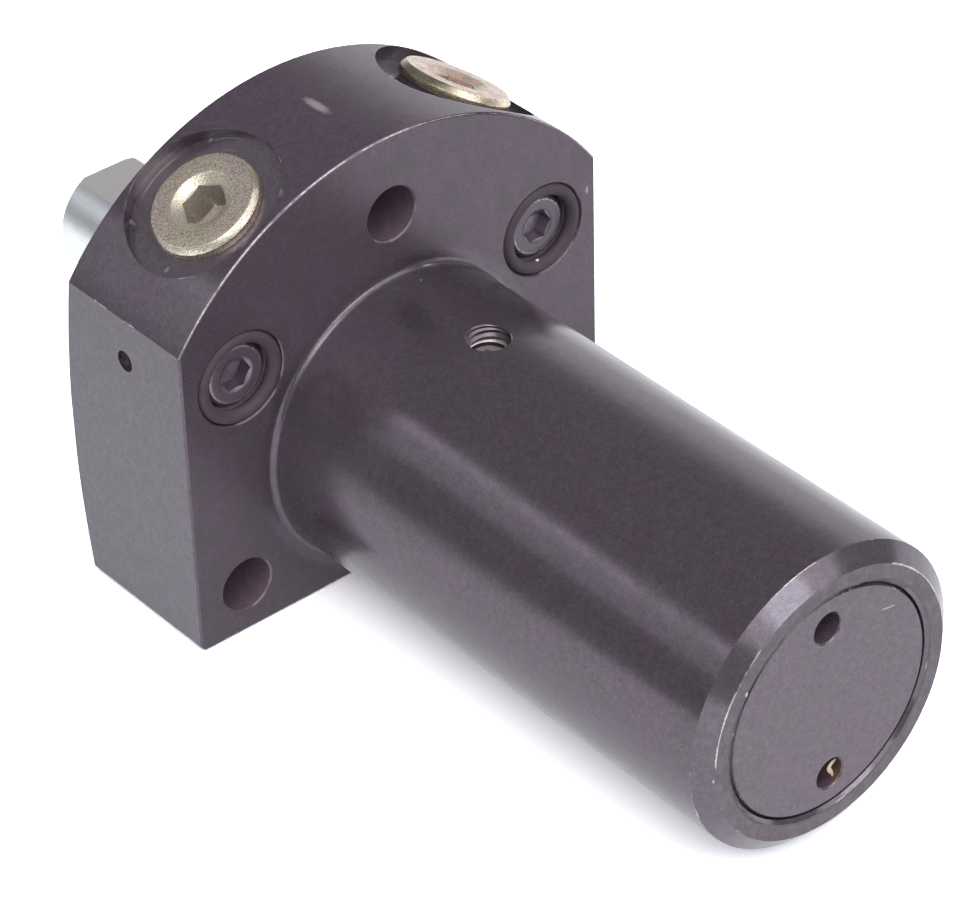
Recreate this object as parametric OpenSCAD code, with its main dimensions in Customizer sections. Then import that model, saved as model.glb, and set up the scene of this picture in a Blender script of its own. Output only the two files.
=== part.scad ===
// Double-acting hydraulic pull cylinder with an upper flange.
// The axis lies along Y: the barrel points to -Y and the plunger comes out to +Y.
// The origin is on the axis, in the plane of the flange's seating face (the barrel side).
// The bottom flat of the flange looks down (-Z), the two pipe ports look up.
// At rest the plunger is fully out; it pulls in towards -Y by the stroke.

/* [Flange] */
// Diameter of the turned flange disc
flange_d = 120; // [116:1:134]
// Width across the two milled side flats
flange_across = 98; // [95:1:106]
// Distance from the axis down to the milled bottom flat
flange_drop = 32; // [31.5:0.5:38]
// Thickness of the flange
flange_t = 36; // [35:1:50]
// Length along the axis of the bevel at the back of the disc
back_bevel_len = 3; // [1:0.5:5]
// Depth in radius of the bevel at the back of the disc
back_bevel_depth = 10.5; // [6:0.5:13]
// Leg of the small break on the front edges
edge_break = 0.4; // [0.2:0.1:1]
// Leg of the break on the two lower corners
corner_break = 1.2; // [0.5:0.1:3]

/* [Mounting holes] */
// Diameter of the circle that the three mounting holes lie on
bolt_circle = 87; // [85:0.5:91]
// Diameter of a mounting hole
bolt_hole_d = 11; // [9:0.5:12]
// Diameter of the screw head recess at the back
bolt_head_d = 18; // [15:0.5:19]
// Depth of the screw head recess at the back
bolt_head_depth = 11; // [7:0.5:15]
// Leg of the break round the mouth of a hole
hole_break = 0.3; // [0.1:0.1:0.8]

/* [Barrel] */
// Outside diameter of the barrel
barrel_d = 60; // [57:0.5:64]
// Diameter of the cylinder bore
bore_d = 40; // [37:0.5:42]
// Length along the axis of the bevel at the open end
barrel_bevel_len = 2.8; // [1:0.1:4]
// Depth in radius of the bevel at the open end
barrel_bevel_depth = 3.2; // [1:0.1:3.6]
// Radius of the fillet where the barrel meets the flange
root_fillet = 1.2; // [0.5:0.1:1.5]

/* [End cap] */
// Radial step from the cylinder bore out to the cap thread
cap_step = 3; // [2:0.5:3.5]
// Length of the cap
cap_len = 17; // [16:0.5:24]
// Length of the threaded part of the cap
cap_thread_len = 9; // [7:0.5:10]
// How far the cap lies below the rim of the barrel
cap_recess = 0.5; // [0:0.1:2]
// Leg of the bevels where cap and rim meet
cap_bevel = 0.6; // [0.2:0.1:1]
// Diameter of the two pin spanner holes
spanner_hole_d = 6; // [4:0.5:7]
// Depth of the pin spanner holes
spanner_hole_depth = 7; // [4:0.5:9]
// Diameter of the circle that the spanner holes lie on
spanner_circle = 33; // [26:0.5:34]
// Angle at which the screwed-in cap came to rest
spanner_turn = 3; // [0:1:180]

/* [Plunger] */
// Diameter of the plunger rod
rod_d = 24; // [22:0.5:26]
// How far the rod stands out of the flange when it is out
rod_reach = 56; // [50:1:80]
// Working stroke
stroke = 30; // [10:1:60]
// Oil gap left between plunger and cap at the end of the stroke
stop_gap = 1.4; // [0.5:0.1:4]
// Width across the two wrench flats at the tip
wrench_across = 20; // [18:0.5:21]
// Length of the wrench flats
wrench_len = 16; // [10:1:20]
// Leg of the bevel at the tip
tip_bevel = 0.8; // [0.3:0.1:2]
// Nominal diameter of the thread in the tip
tip_thread_d = 12; // [8:1:14]
// Depth of the thread in the tip
tip_thread_depth = 24; // [14:1:36]
// Radial step from the rod down to the neck that carries the piston
neck_step = 3; // [2:0.25:3.5]
// Radial step from the neck down to the stud that carries the nut
stud_step = 1; // [0.5:0.25:1.5]

/* [Piston] */
// Diameter of the boss that faces the gland
piston_boss_d = 32; // [30:0.5:34]
// Length of the boss
piston_boss_len = 4; // [4:0.5:8]
// Width of each land between the piston's grooves
piston_land = 1.2; // [1:0.1:3]
// Width of a piston guide ring
piston_ring_w = 3.9; // [2.5:0.1:6]
// Thickness in radius of the guide rings
guide_ring_t = 2; // [1.5:0.1:2.5]
// Width of the piston seal
piston_seal_w = 4.2; // [3:0.1:6]
// Thickness in radius of the sliding ring of the piston seal
piston_slide_t = 1.3; // [1:0.1:2]
// Section of the o-ring that pushes the sliding ring out
piston_spring_d = 2.4; // [1.5:0.1:2.8]
// Section of the o-ring between piston and neck
neck_o_ring_d = 2; // [1.5:0.1:2.5]
// Width across the flats of the piston nut
nut_across = 24; // [23:0.5:28]
// Thickness of the piston nut
nut_t = 7; // [6:0.5:10]
// Diameter of the locking screw in the nut
nut_screw_d = 4; // [3:0.5:5]

/* [Gland] */
// How far the gland reaches into the flange past the seating face
gland_seat = 4; // [2:0.5:6]
// Distance of the gland locking screw from the seating face
lock_from_seat = 26.4; // [24:0.1:40]
// Nominal diameter of the locking screw
lock_screw_d = 8; // [6:1:10]
// How far the locking screw lies below the barrel
lock_sunk = 4.2; // [1:0.1:5]
// Diameter of the dog point of the locking screw
lock_dog_d = 5.5; // [4:0.5:6]
// Width across the flats of the locking screw's socket
lock_socket = 4; // [3:0.5:4.5]
// Depth of the groove in the gland for the dog point
lock_groove_depth = 2; // [1:0.25:2.5]
// Width of a land beside the gland's outer grooves
gland_land = 1.6; // [1.2:0.1:3]
// Width of the land between the lock groove and the o-ring groove
lock_land = 1.95; // [1.5:0.05:5]
// Width of the rod seal
rod_seal_w = 6.3; // [5:0.1:7]
// Thickness in radius of the rod seal
rod_seal_t = 4.2; // [3:0.1:4.5]
// Width of the guide ring in the gland
gland_ring_w = 5.6; // [4:0.1:7]
// Width of the guide ring in the flange
nose_ring_w = 9.7; // [6:0.1:10]
// Width of the wiper's seat
wiper_w = 7; // [5:0.5:8]
// Thickness in radius of the wiper
wiper_t = 4; // [3:0.25:5]
// How far the wiper's lip stands out of the flange
wiper_lip = 0.9; // [0.3:0.1:2]

/* [Static seals] */
// Section of the o-rings on the gland and on the cap
o_ring_d = 3; // [2:0.1:3.2]
// Width of the backup ring beside such an o-ring
backup_w = 1.4; // [1:0.1:2]

/* [Pipe ports] */
// Angle of each pipe port from the vertical
port_angle = 30; // [28:0.5:34]
// Distance of the pipe ports from the seating face
port_from_seat = 17; // [17:0.1:18]
// Diameter of the flat spot round the port
spot_d = 31.6; // [29:0.2:31.8]
// Depth of the flat spot below the disc's outside
spot_depth = 3.25; // [2.5:0.25:5]
// Nominal diameter of the pipe thread
port_thread_d = 16.6; // [13:0.1:17]
// Depth of the threaded port
port_depth = 13; // [12:0.5:16]
// Diameter of the oil way below the port
oil_way_d = 6; // [4:0.5:7]
// Diameter of the plug's collar
collar_d = 22; // [20:0.5:25]
// Height of the plug's collar
collar_h = 2.5; // [2.4:0.1:4]
// Height of the bevel round the collar
collar_bevel_h = 1.1; // [0.5:0.1:1.5]
// Width of the bevel round the collar
collar_bevel_w = 0.85; // [0.4:0.05:1.2]
// Length of the plug's thread
plug_thread_len = 11; // [8:0.5:11.5]
// Width across the flats of the plug's socket
plug_socket = 8; // [6:0.5:9]
// Depth of the plug's socket
plug_socket_depth = 7.5; // [5:0.5:9]
// Diameter of the dish that leads into the plug's socket
plug_dish_d = 12.6; // [11:0.1:14]
// Depth of that dish
plug_dish_depth = 1.3; // [0.5:0.1:2]
// Thickness of the seal ring under the collar
plug_seal_t = 1; // [0.8:0.1:1.2]
// Width in radius of that seal ring
plug_seal_w = 1.7; // [1.2:0.1:1.8]
// How much higher the right plug stands, on a thicker seal ring
right_plug_lift = 1.1; // [0:0.1:1.5]

/* [Manifold ports] */
// Distance of each manifold port from its side flat
manifold_inset = 13.2; // [12:0.1:14]
// Height of the manifold ports above the axis
manifold_z = 24.2; // [23.5:0.1:26]
// Diameter of the o-ring's seat
seal_seat_d = 19; // [18:0.25:20]
// Depth of the o-ring's seat
seal_seat_depth = 2.3; // [1.5:0.1:2.8]
// Section of the port's o-ring
port_o_ring_d = 2.6; // [1.8:0.1:2.9]
// Diameter of the closing screw's head
head_d = 13; // [11:0.5:13.5]
// Height of the closing screw's head
head_h = 5; // [4:0.25:6]
// How far the head lies below the seating face
head_sunk = 1.6; // [0.5:0.1:2]
// Leg of the bevel round the head
head_bevel = 0.75; // [0.3:0.05:1]
// Nominal diameter of the closing screw
close_screw_d = 8; // [6:0.5:8]
// Length of the closing screw under its head
close_screw_len = 7.4; // [5:0.1:8]
// Width across the flats of the closing screw's socket
head_socket = 6; // [4:0.5:7]
// Depth of the closing screw's socket
head_socket_depth = 3; // [2:0.25:3.5]
// Thickness of the sealing washer
washer_t = 1; // [0.5:0.1:1.5]

/* [Drilled oil ways] */
// Height of the cross gallery above the axis
gallery_z = 25.4; // [24.5:0.1:26]
// Diameter of the cross gallery
gallery_d = 3.2; // [2:0.1:3.6]
// Diameter of the long oil way in the barrel's wall
wall_way_d = 4; // [2.5:0.1:4.5]
// Diameter of the expander plug in a side flat
side_plug_d = 4.2; // [3.8:0.1:5]
// Diameter of the expander plug in the back face
back_plug_d = 5; // [4.6:0.1:6]
// Length of an expander plug
expander_len = 4; // [3:0.1:5]
// How far an expander plug lies below its face
expander_sunk = 1.2; // [0.3:0.1:1.5]
// Wall of an expander plug's sleeve
expander_wall = 0.5; // [0.3:0.05:0.7]

/* [Clearances] */
// Radial clearance of what slides
run_gap = 0.05; // [0.02:0.01:0.1]
// Radial clearance of what is screwed or set in
seat_gap = 0.05; // [0.02:0.01:0.1]
// Radial clearance of the piston's metal
piston_gap = 0.3; // [0.2:0.05:0.45]
// Radial clearance of the rod's way through the flange
nose_gap = 0.3; // [0.2:0.05:0.5]
// Clearance between piston and gland at rest
end_gap = 0.3; // [0.2:0.1:1]

/* [Hidden] */
$fn = 96;
LEFT = -1;
RIGHT = 1;
eps = 0.01;
// Angles in degrees: half the point of a drill, and the steps of a round corner
drill_half = 59;
arc_step = 15;

// Radii
flange_r = flange_d / 2;
barrel_r = barrel_d / 2;
bore_r = bore_d / 2;
rod_r = rod_d / 2;
neck_r = rod_r - neck_step;
stud_r = neck_r - stud_step;
cap_thread_r = bore_r + cap_step;
slide_r = bore_r - run_gap;
piston_r = bore_r - piston_gap;
half_across = flange_across / 2;
manifold_x = half_across - manifold_inset;

// Stations along the gland, from its outer end in the flange to its pressure end
o_groove_w = o_ring_d + backup_w + 0.5;
lock_groove_w = lock_dog_d + 0.8;
gland_reach = lock_from_seat + lock_groove_w / 2 + lock_land + o_groove_w + gland_land;
gland_o_from = -gland_reach + gland_land;
rod_seal_from = -lock_from_seat + lock_groove_w / 2 + lock_land / 3;
gland_ring_from = rod_seal_from + rod_seal_w + 3 * piston_land;

// Stations along the piston and the rod, at rest
piston_front = -gland_reach - end_gap;
piston_body_len = 4 * piston_land + 2 * piston_ring_w + piston_seal_w;
piston_len = piston_boss_len + piston_body_len;
piston_back = piston_front - piston_len;
front_ring_from = piston_front - piston_boss_len - piston_land - piston_ring_w;
piston_seal_from = front_ring_from - piston_land - piston_seal_w;
back_ring_from = piston_seal_from - piston_land - piston_ring_w;
stud_end = piston_back - nut_t;
tip_y = flange_t + rod_reach;

// Stations along the barrel and the cap: the stroke sets the barrel's length
cap_inner = stud_end - stroke - stop_gap;
cap_outer = cap_inner - cap_len;
barrel_end = cap_outer - cap_recess;
cap_seat = cap_outer + cap_thread_len;
cap_spigot_len = cap_len - cap_thread_len;
cap_o_from = cap_seat + (cap_spigot_len - o_groove_w) / 2;

// Stations through the flange
wiper_from = flange_t - wiper_w;
nose_ring_from = wiper_from - 4 - nose_ring_w;
wiper_seat_r = rod_r + wiper_t + seat_gap;
ring_groove_r = rod_r + guide_ring_t + seat_gap;

// Oil ways
wall_way_r = (bore_r + barrel_r) / 2;
wall_way_x = wall_way_r * sin(port_angle);
wall_way_z = wall_way_r * cos(port_angle);
rod_side_way_y = piston_front - piston_boss_len / 2;
cap_side_way_y = cap_inner + wall_way_d * 0.7;
spot_floor = flange_r - spot_depth;
gallery_end_x = gallery_z * tan(port_angle);
expander_seat_depth = expander_sunk + expander_len + 0.4;
washer_from = head_sunk + head_h;
lock_len = barrel_r - lock_sunk - (bore_r - lock_groove_depth) - seat_gap;

// A turned shape: each point is a radius and a station along Y
module turned(points) {
    rotate([-90, 0, 0]) rotate_extrude() polygon(points);
}

// A plain ring round the axis
module turned_ring(inner_r, outer_r, from_y, to_y) {
    turned([[inner_r, from_y], [outer_r, from_y], [outer_r, to_y], [inner_r, to_y]]);
}

// An o-ring round the axis, given by its outer radius
module turned_o_ring(outer_r, mid_y, section) {
    rotate([-90, 0, 0]) rotate_extrude() translate([outer_r - section / 2, mid_y]) circle(d = section);
}

// A blind hole going up Z from the floor of the mouth, with the cone that a drill leaves
module drilled(d, depth) {
    translate([0, 0, -eps]) cylinder(d = d, h = depth + eps);
    translate([0, 0, depth - eps]) cylinder(d1 = d, d2 = 0, h = d / 2 / tan(drill_half));
}

// The small bevel round a hole's mouth
module mouth_break(d, leg) {
    translate([0, 0, -eps]) cylinder(d1 = d + 2 * leg + 2 * eps, d2 = d, h = leg + eps);
}

// A hexagon socket, going up Z
module hex_socket(across, depth) {
    translate([0, 0, -eps]) cylinder(d = across / cos(30), h = depth + eps, $fn = 6);
}

// How far a plug's collar stands off its spot
function plug_lift(side) = side == RIGHT ? right_plug_lift : 0;

// Places: each puts its children's Z along the axis of a port or plug
module at_pipe_port(side) {
    translate([0, port_from_seat, 0]) rotate([0, side * port_angle, 0]) children();
}
module at_plug(side) {
    at_pipe_port(side) translate([0, 0, spot_floor + plug_lift(side)]) children();
}
module at_manifold_port(side) {
    translate([side * manifold_x, 0, manifold_z]) rotate([-90, 0, 0]) children();
}
module at_side_flat(side) {
    translate([side * half_across, port_from_seat, gallery_z]) rotate([0, -side * 90, 0]) children();
}
module at_back_face(side) {
    translate([side * wall_way_x, flange_t, wall_way_z]) rotate([90, 0, 0]) children();
}
module at_lock_screw() {
    translate([0, -lock_from_seat, barrel_r]) rotate([180, 0, 0]) children();
}
module at_bolt_holes() {
    for (turn = [0, 120, 240]) rotate([0, turn, 0]) translate([0, 0, bolt_circle / 2]) rotate([-90, 0, 0]) children();
}

// Body: flange and barrel turned from one piece, then milled and drilled

// The fillet at the barrel's root, from the barrel up to the seating face
function root_arc() = [
    for (a = [0:arc_step:90])
        [barrel_r + root_fillet * (1 - cos(a)), -root_fillet * (1 - sin(a))]
];

module turned_blank() {
    turned(concat(
        [[0, barrel_end], [barrel_r - barrel_bevel_depth, barrel_end], [barrel_r, barrel_end + barrel_bevel_len]],
        root_arc(),
        [[flange_r - edge_break, 0], [flange_r, edge_break], [flange_r, flange_t - back_bevel_len],
         [flange_r - back_bevel_depth, flange_t], [0, flange_t]]
    ));
}

// Milled away: the two side flats, the bottom flat and its corners
module milled_flats() {
    for (side = [LEFT, RIGHT])
        translate([0, 0, -flange_d]) linear_extrude(2 * flange_d)
            polygon([[side * (half_across - edge_break), 0], [side * half_across, edge_break],
                     [side * half_across, flange_t + 1], [side * flange_d, flange_t + 1], [side * flange_d, 0]]);
    translate([-flange_d, 0, 0]) rotate([90, 0, 90]) linear_extrude(2 * flange_d)
        polygon([[0, edge_break - flange_drop], [edge_break, -flange_drop],
                 [flange_t + 1, -flange_drop], [flange_t + 1, -flange_d], [0, -flange_d]]);
    for (side = [LEFT, RIGHT])
        translate([side * half_across, flange_t / 2, -flange_drop]) rotate([0, 45, 0])
            cube([corner_break * sqrt(2), flange_t, corner_break * sqrt(2)], center = true);
}

// Turned away inside: cap thread, cylinder bore, rod way, guide ring groove and wiper seat
module inner_bore() {
    way_r = rod_r + nose_gap;
    turned([
        [0, barrel_end - 1], [cap_thread_r + cap_bevel, barrel_end - 1],
        [cap_thread_r + cap_bevel, barrel_end], [cap_thread_r, barrel_end + cap_bevel],
        [cap_thread_r, cap_seat], [bore_r, cap_seat], [bore_r, gland_seat],
        [way_r, gland_seat], [way_r, nose_ring_from], [ring_groove_r, nose_ring_from],
        [ring_groove_r, nose_ring_from + nose_ring_w], [way_r, nose_ring_from + nose_ring_w],
        [way_r, wiper_from], [wiper_seat_r, wiper_from], [wiper_seat_r, flange_t + 1], [0, flange_t + 1]
    ]);
}

module pipe_port_cut() {
    translate([0, 0, spot_floor]) cylinder(d = spot_d, h = flange_r);
    translate([0, 0, spot_floor]) mirror([0, 0, 1]) {
        drilled(port_thread_d + 2 * seat_gap, port_depth);
        mouth_break(port_thread_d + 2 * seat_gap, hole_break);
        drilled(oil_way_d, spot_floor - wall_way_r);
    }
}

module manifold_port_cut() {
    mouth_break(seal_seat_d, hole_break);
    translate([0, 0, -eps]) cylinder(d = seal_seat_d, h = seal_seat_depth + eps);
    translate([0, 0, -eps]) cylinder(d = head_d + 1, h = washer_from + washer_t + eps);
    drilled(close_screw_d + 2 * seat_gap, port_from_seat + gallery_d);
}

module gallery_cut(side) {
    drilled(side_plug_d, expander_seat_depth);
    translate([0, 0, -eps]) cylinder(d = gallery_d, h = half_across - gallery_end_x + eps);
}

// The long way in the wall ends level with the cross way that opens into the bore
module wall_way_cut(side, end_y) {
    at_back_face(side) {
        drilled(back_plug_d, expander_seat_depth);
        drilled(wall_way_d, flange_t - end_y + wall_way_d / 2);
    }
    translate([0, end_y, 0]) rotate([0, side * port_angle, 0])
        translate([0, 0, bore_r - 1]) cylinder(d = wall_way_d * 0.9, h = wall_way_r - bore_r + 1);
}

module bolt_hole_cut() {
    translate([0, 0, -1]) cylinder(d = bolt_hole_d, h = flange_t + 2);
    mouth_break(bolt_hole_d, hole_break);
    translate([0, 0, flange_t - bolt_head_depth]) cylinder(d = bolt_head_d, h = bolt_head_depth + 1);
}

module lock_hole_cut() {
    translate([0, 0, -1]) cylinder(d = lock_screw_d + 2 * seat_gap, h = barrel_r - bore_r + 2);
    mouth_break(lock_screw_d, hole_break);
}

module body() {
    color([0.13, 0.12, 0.14]) difference() {
        turned_blank();
        milled_flats();
        inner_bore();
        at_bolt_holes() bolt_hole_cut();
        at_lock_screw() lock_hole_cut();
        for (side = [LEFT, RIGHT]) {
            at_pipe_port(side) pipe_port_cut();
            at_manifold_port(side) manifold_port_cut();
            at_side_flat(side) gallery_cut(side);
        }
        wall_way_cut(LEFT, rod_side_way_y);
        wall_way_cut(RIGHT, cap_side_way_y);
    }
}

// End cap: screwed into the barrel until its shoulder meets the step, sealed on its spigot
module end_cap() {
    outer_r = cap_thread_r - seat_gap;
    spigot_r = bore_r - seat_gap;
    floor_r = bore_r - o_ring_d - 2 * seat_gap;
    color([0.2, 0.19, 0.21]) difference() {
        turned([
            [0, cap_outer], [outer_r - cap_bevel, cap_outer], [outer_r, cap_outer + cap_bevel],
            [outer_r, cap_seat], [spigot_r, cap_seat], [spigot_r, cap_o_from], [floor_r, cap_o_from],
            [floor_r, cap_o_from + o_groove_w], [spigot_r, cap_o_from + o_groove_w],
            [spigot_r, cap_inner - cap_bevel], [spigot_r - cap_bevel, cap_inner], [0, cap_inner]
        ]);
        for (half = [0, 180])
            translate([0, cap_outer, 0]) rotate([0, half - spanner_turn, 0])
                translate([0, 0, spanner_circle / 2]) rotate([-90, 0, 0]) {
                    drilled(spanner_hole_d, spanner_hole_depth);
                    mouth_break(spanner_hole_d, hole_break);
                }
    }
}

// The static seals lie in their grooves with the backup ring on the side away from the oil
module cap_o_ring() {
    color([0.08, 0.08, 0.08])
        turned_o_ring(bore_r - seat_gap, cap_o_from + o_groove_w - 0.2 - o_ring_d / 2, o_ring_d);
}

module cap_backup_ring() {
    color([0.9, 0.9, 0.86])
        turned_ring(bore_r - o_ring_d, bore_r - seat_gap, cap_o_from + 0.1, cap_o_from + 0.1 + backup_w);
}

// Gland: guides and seals the rod, pushed in against the step in the flange and locked by the screw
module gland() {
    outer_r = bore_r - seat_gap;
    inner_r = rod_r + run_gap;
    floor_r = bore_r - o_ring_d - 2 * seat_gap;
    lock_r = bore_r - lock_groove_depth;
    seal_r = rod_r + rod_seal_t + seat_gap;
    o_to = gland_o_from + o_groove_w;
    seal_to = rod_seal_from + rod_seal_w + 0.2;
    ring_to = gland_ring_from + gland_ring_w;
    color([0.62, 0.62, 0.6]) turned([
        [inner_r, -gland_reach], [outer_r - cap_bevel, -gland_reach], [outer_r, -gland_reach + cap_bevel],
        [outer_r, gland_o_from], [floor_r, gland_o_from], [floor_r, o_to], [outer_r, o_to],
        [outer_r, -lock_from_seat - lock_groove_w / 2], [lock_r, -lock_from_seat - lock_groove_w / 2],
        [lock_r, -lock_from_seat + lock_groove_w / 2], [outer_r, -lock_from_seat + lock_groove_w / 2],
        [outer_r, gland_seat - cap_bevel], [outer_r - cap_bevel, gland_seat], [inner_r, gland_seat],
        [inner_r, ring_to], [ring_groove_r, ring_to], [ring_groove_r, gland_ring_from],
        [inner_r, gland_ring_from], [inner_r, seal_to], [seal_r, seal_to], [seal_r, rod_seal_from],
        [inner_r, rod_seal_from]
    ]);
}

module gland_o_ring() {
    color([0.08, 0.08, 0.08]) turned_o_ring(bore_r - seat_gap, gland_o_from + 0.2 + o_ring_d / 2, o_ring_d);
}

module gland_backup_ring() {
    to_y = gland_o_from + o_groove_w - 0.1;
    color([0.9, 0.9, 0.86]) turned_ring(bore_r - o_ring_d, bore_r - seat_gap, to_y - backup_w, to_y);
}

// Set screw with a dog point that stands in the gland's groove
module gland_lock_screw() {
    dog_len = lock_groove_depth + 0.5;
    color([0.35, 0.34, 0.33]) at_lock_screw() translate([0, 0, lock_sunk]) difference() {
        union() {
            cylinder(d1 = lock_screw_d - 1, d2 = lock_screw_d, h = 0.5);
            translate([0, 0, 0.5]) cylinder(d = lock_screw_d, h = lock_len - dog_len - 1);
            translate([0, 0, lock_len - dog_len - 0.5]) cylinder(d1 = lock_screw_d, d2 = lock_dog_d, h = 0.5);
            cylinder(d = lock_dog_d, h = lock_len);
        }
        hex_socket(lock_socket, 3);
    }
}

// Rod seal: a lip seal whose open side looks to the oil
module rod_seal() {
    from_r = rod_r + run_gap;
    to_r = rod_r + rod_seal_t;
    mid_r = (from_r + to_r) / 2;
    lip = rod_seal_t / 4;
    back = rod_seal_from + rod_seal_w;
    color([0.15, 0.3, 0.2]) turned([
        [from_r, rod_seal_from + 0.1], [from_r + lip, rod_seal_from + 0.1],
        [mid_r, rod_seal_from + rod_seal_w / 3], [to_r - lip, rod_seal_from + 0.1],
        [to_r, rod_seal_from + 0.1], [to_r, back], [from_r, back]
    ]);
}

module gland_guide_ring() {
    color([0.5, 0.25, 0.15]) turned_ring(rod_r + run_gap, rod_r + guide_ring_t,
        gland_ring_from + 0.1, gland_ring_from + gland_ring_w - 0.1);
}

module nose_guide_ring() {
    color([0.5, 0.25, 0.15]) turned_ring(rod_r + run_gap, rod_r + guide_ring_t,
        nose_ring_from + 0.1, nose_ring_from + nose_ring_w - 0.1);
}

// Wiper: its lip leans on the rod just outside the flange
module wiper() {
    from_r = rod_r + run_gap;
    to_r = rod_r + wiper_t;
    color([0.12, 0.12, 0.12]) turned([
        [from_r + 0.4, wiper_from + 0.1], [to_r, wiper_from + 0.1], [to_r, flange_t - 0.6],
        [to_r - 0.5, flange_t - 0.1], [from_r + wiper_t / 2, flange_t - 0.1],
        [from_r + wiper_t / 2 - 0.5, flange_t - 1.1], [from_r + 0.9, flange_t + wiper_lip - 0.5],
        [from_r + 0.3, flange_t + wiper_lip], [from_r, flange_t + wiper_lip - 0.3],
        [from_r + 0.4, flange_t - wiper_w / 3]
    ]);
}

// Plunger: rod with wrench flats and a thread in its tip, and a neck and stud for the piston
module plunger() {
    stud_bevel = 1;
    color([0.8, 0.8, 0.82]) difference() {
        turned([
            [0, stud_end], [stud_r - stud_bevel, stud_end], [stud_r, stud_end + stud_bevel],
            [stud_r, piston_back], [neck_r, piston_back], [neck_r, piston_front], [rod_r, piston_front],
            [rod_r, tip_y - tip_bevel], [rod_r - tip_bevel, tip_y], [0, tip_y]
        ]);
        for (side = [LEFT, RIGHT])
            translate([-rod_r, tip_y - wrench_len, side > 0 ? wrench_across / 2 : -rod_d])
                cube([rod_d, wrench_len + 1, rod_d - wrench_across / 2]);
        translate([0, tip_y, 0]) rotate([90, 0, 0]) {
            drilled(tip_thread_d, tip_thread_depth);
            mouth_break(tip_thread_d, tip_bevel);
        }
    }
}

// Piston: a boss towards the gland, then guide ring, seal and guide ring
module piston() {
    inner_r = neck_r + seat_gap;
    seal_floor_r = slide_r - piston_slide_t - piston_spring_d - 2 * seat_gap;
    ring_floor_r = slide_r - guide_ring_t - seat_gap;
    neck_groove_r = inner_r + neck_o_ring_d + seat_gap;
    body_front = piston_front - piston_boss_len;
    neck_groove_mid = (piston_front + piston_back) / 2;
    neck_groove_half = neck_o_ring_d / 2 + 0.3;
    color([0.5, 0.5, 0.52]) turned([
        [inner_r, piston_back], [piston_r, piston_back],
        [piston_r, back_ring_from], [ring_floor_r, back_ring_from],
        [ring_floor_r, back_ring_from + piston_ring_w], [piston_r, back_ring_from + piston_ring_w],
        [piston_r, piston_seal_from], [seal_floor_r, piston_seal_from],
        [seal_floor_r, piston_seal_from + piston_seal_w], [piston_r, piston_seal_from + piston_seal_w],
        [piston_r, front_ring_from], [ring_floor_r, front_ring_from],
        [ring_floor_r, front_ring_from + piston_ring_w], [piston_r, front_ring_from + piston_ring_w],
        [piston_r, body_front], [piston_boss_d / 2, body_front], [piston_boss_d / 2, piston_front],
        [inner_r, piston_front],
        [inner_r, neck_groove_mid + neck_groove_half], [neck_groove_r, neck_groove_mid + neck_groove_half],
        [neck_groove_r, neck_groove_mid - neck_groove_half], [inner_r, neck_groove_mid - neck_groove_half]
    ]);
}

module piston_slide_ring() {
    color([0.25, 0.45, 0.6]) turned_ring(slide_r - piston_slide_t, slide_r,
        piston_seal_from + 0.1, piston_seal_from + piston_seal_w - 0.1);
}

module piston_spring_ring() {
    color([0.08, 0.08, 0.08]) turned_o_ring(slide_r - piston_slide_t - seat_gap,
        piston_seal_from + piston_seal_w / 2, piston_spring_d);
}

module piston_guide_ring(from_y) {
    color([0.5, 0.25, 0.15])
        turned_ring(slide_r - guide_ring_t, slide_r, from_y + 0.1, from_y + piston_ring_w - 0.1);
}

module neck_o_ring() {
    color([0.08, 0.08, 0.08])
        turned_o_ring(neck_r + seat_gap + neck_o_ring_d, (piston_front + piston_back) / 2, neck_o_ring_d);
}

// Nut: holds the piston against the rod's shoulder
module piston_nut() {
    corner_r = nut_across / 2 / cos(30);
    color([0.3, 0.3, 0.32]) difference() {
        intersection() {
            translate([0, stud_end, 0]) rotate([-90, 0, 0])
                cylinder(r = corner_r, h = piston_back - stud_end, $fn = 6);
            turned([[0, stud_end], [nut_across / 2 - 0.4, stud_end], [corner_r, stud_end + 1],
                    [corner_r, piston_back - 1], [nut_across / 2 - 0.4, piston_back], [0, piston_back]]);
        }
        translate([0, stud_end - 1, 0]) rotate([-90, 0, 0]) cylinder(r = stud_r + seat_gap, h = nut_t + 2);
        translate([0, stud_end + nut_t / 2, 0]) cylinder(d = nut_screw_d + 2 * seat_gap, h = nut_across);
    }
}

module nut_lock_screw() {
    from_z = stud_r + seat_gap;
    to_z = nut_across / 2 - 0.5;
    color([0.2, 0.2, 0.2]) translate([0, stud_end + nut_t / 2, 0]) difference() {
        translate([0, 0, from_z]) cylinder(d = nut_screw_d, h = to_z - from_z);
        translate([0, 0, to_z]) mirror([0, 0, 1]) hex_socket(nut_screw_d / 2, (to_z - from_z) / 2);
    }
}

// Pipe port plug: collar, thread and hexagon socket, screwed down on the flat spot
module port_plug(side) {
    collar_r = collar_d / 2;
    thread_r = port_thread_d / 2;
    top = collar_h;
    groove_in = thread_r + 0.3;
    groove_out = groove_in + plug_seal_w + 2 * seat_gap;
    color([0.72, 0.66, 0.5]) at_plug(side) difference() {
        rotate_extrude() polygon([
            [0, -plug_thread_len], [thread_r - 1, -plug_thread_len], [thread_r, 1 - plug_thread_len],
            [thread_r, -1.5], [thread_r - 0.8, -1.5], [thread_r - 0.8, plug_seal_t], [groove_out, plug_seal_t],
            [groove_out, 0], [collar_r, 0], [collar_r, top - collar_bevel_h],
            [collar_r - collar_bevel_w, top], [0, top]
        ]);
        translate([0, 0, top]) mirror([0, 0, 1]) {
            hex_socket(plug_socket, plug_socket_depth);
            translate([0, 0, -eps])
                cylinder(d1 = plug_dish_d, d2 = plug_socket, h = plug_dish_depth + eps);
        }
    }
}

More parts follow.
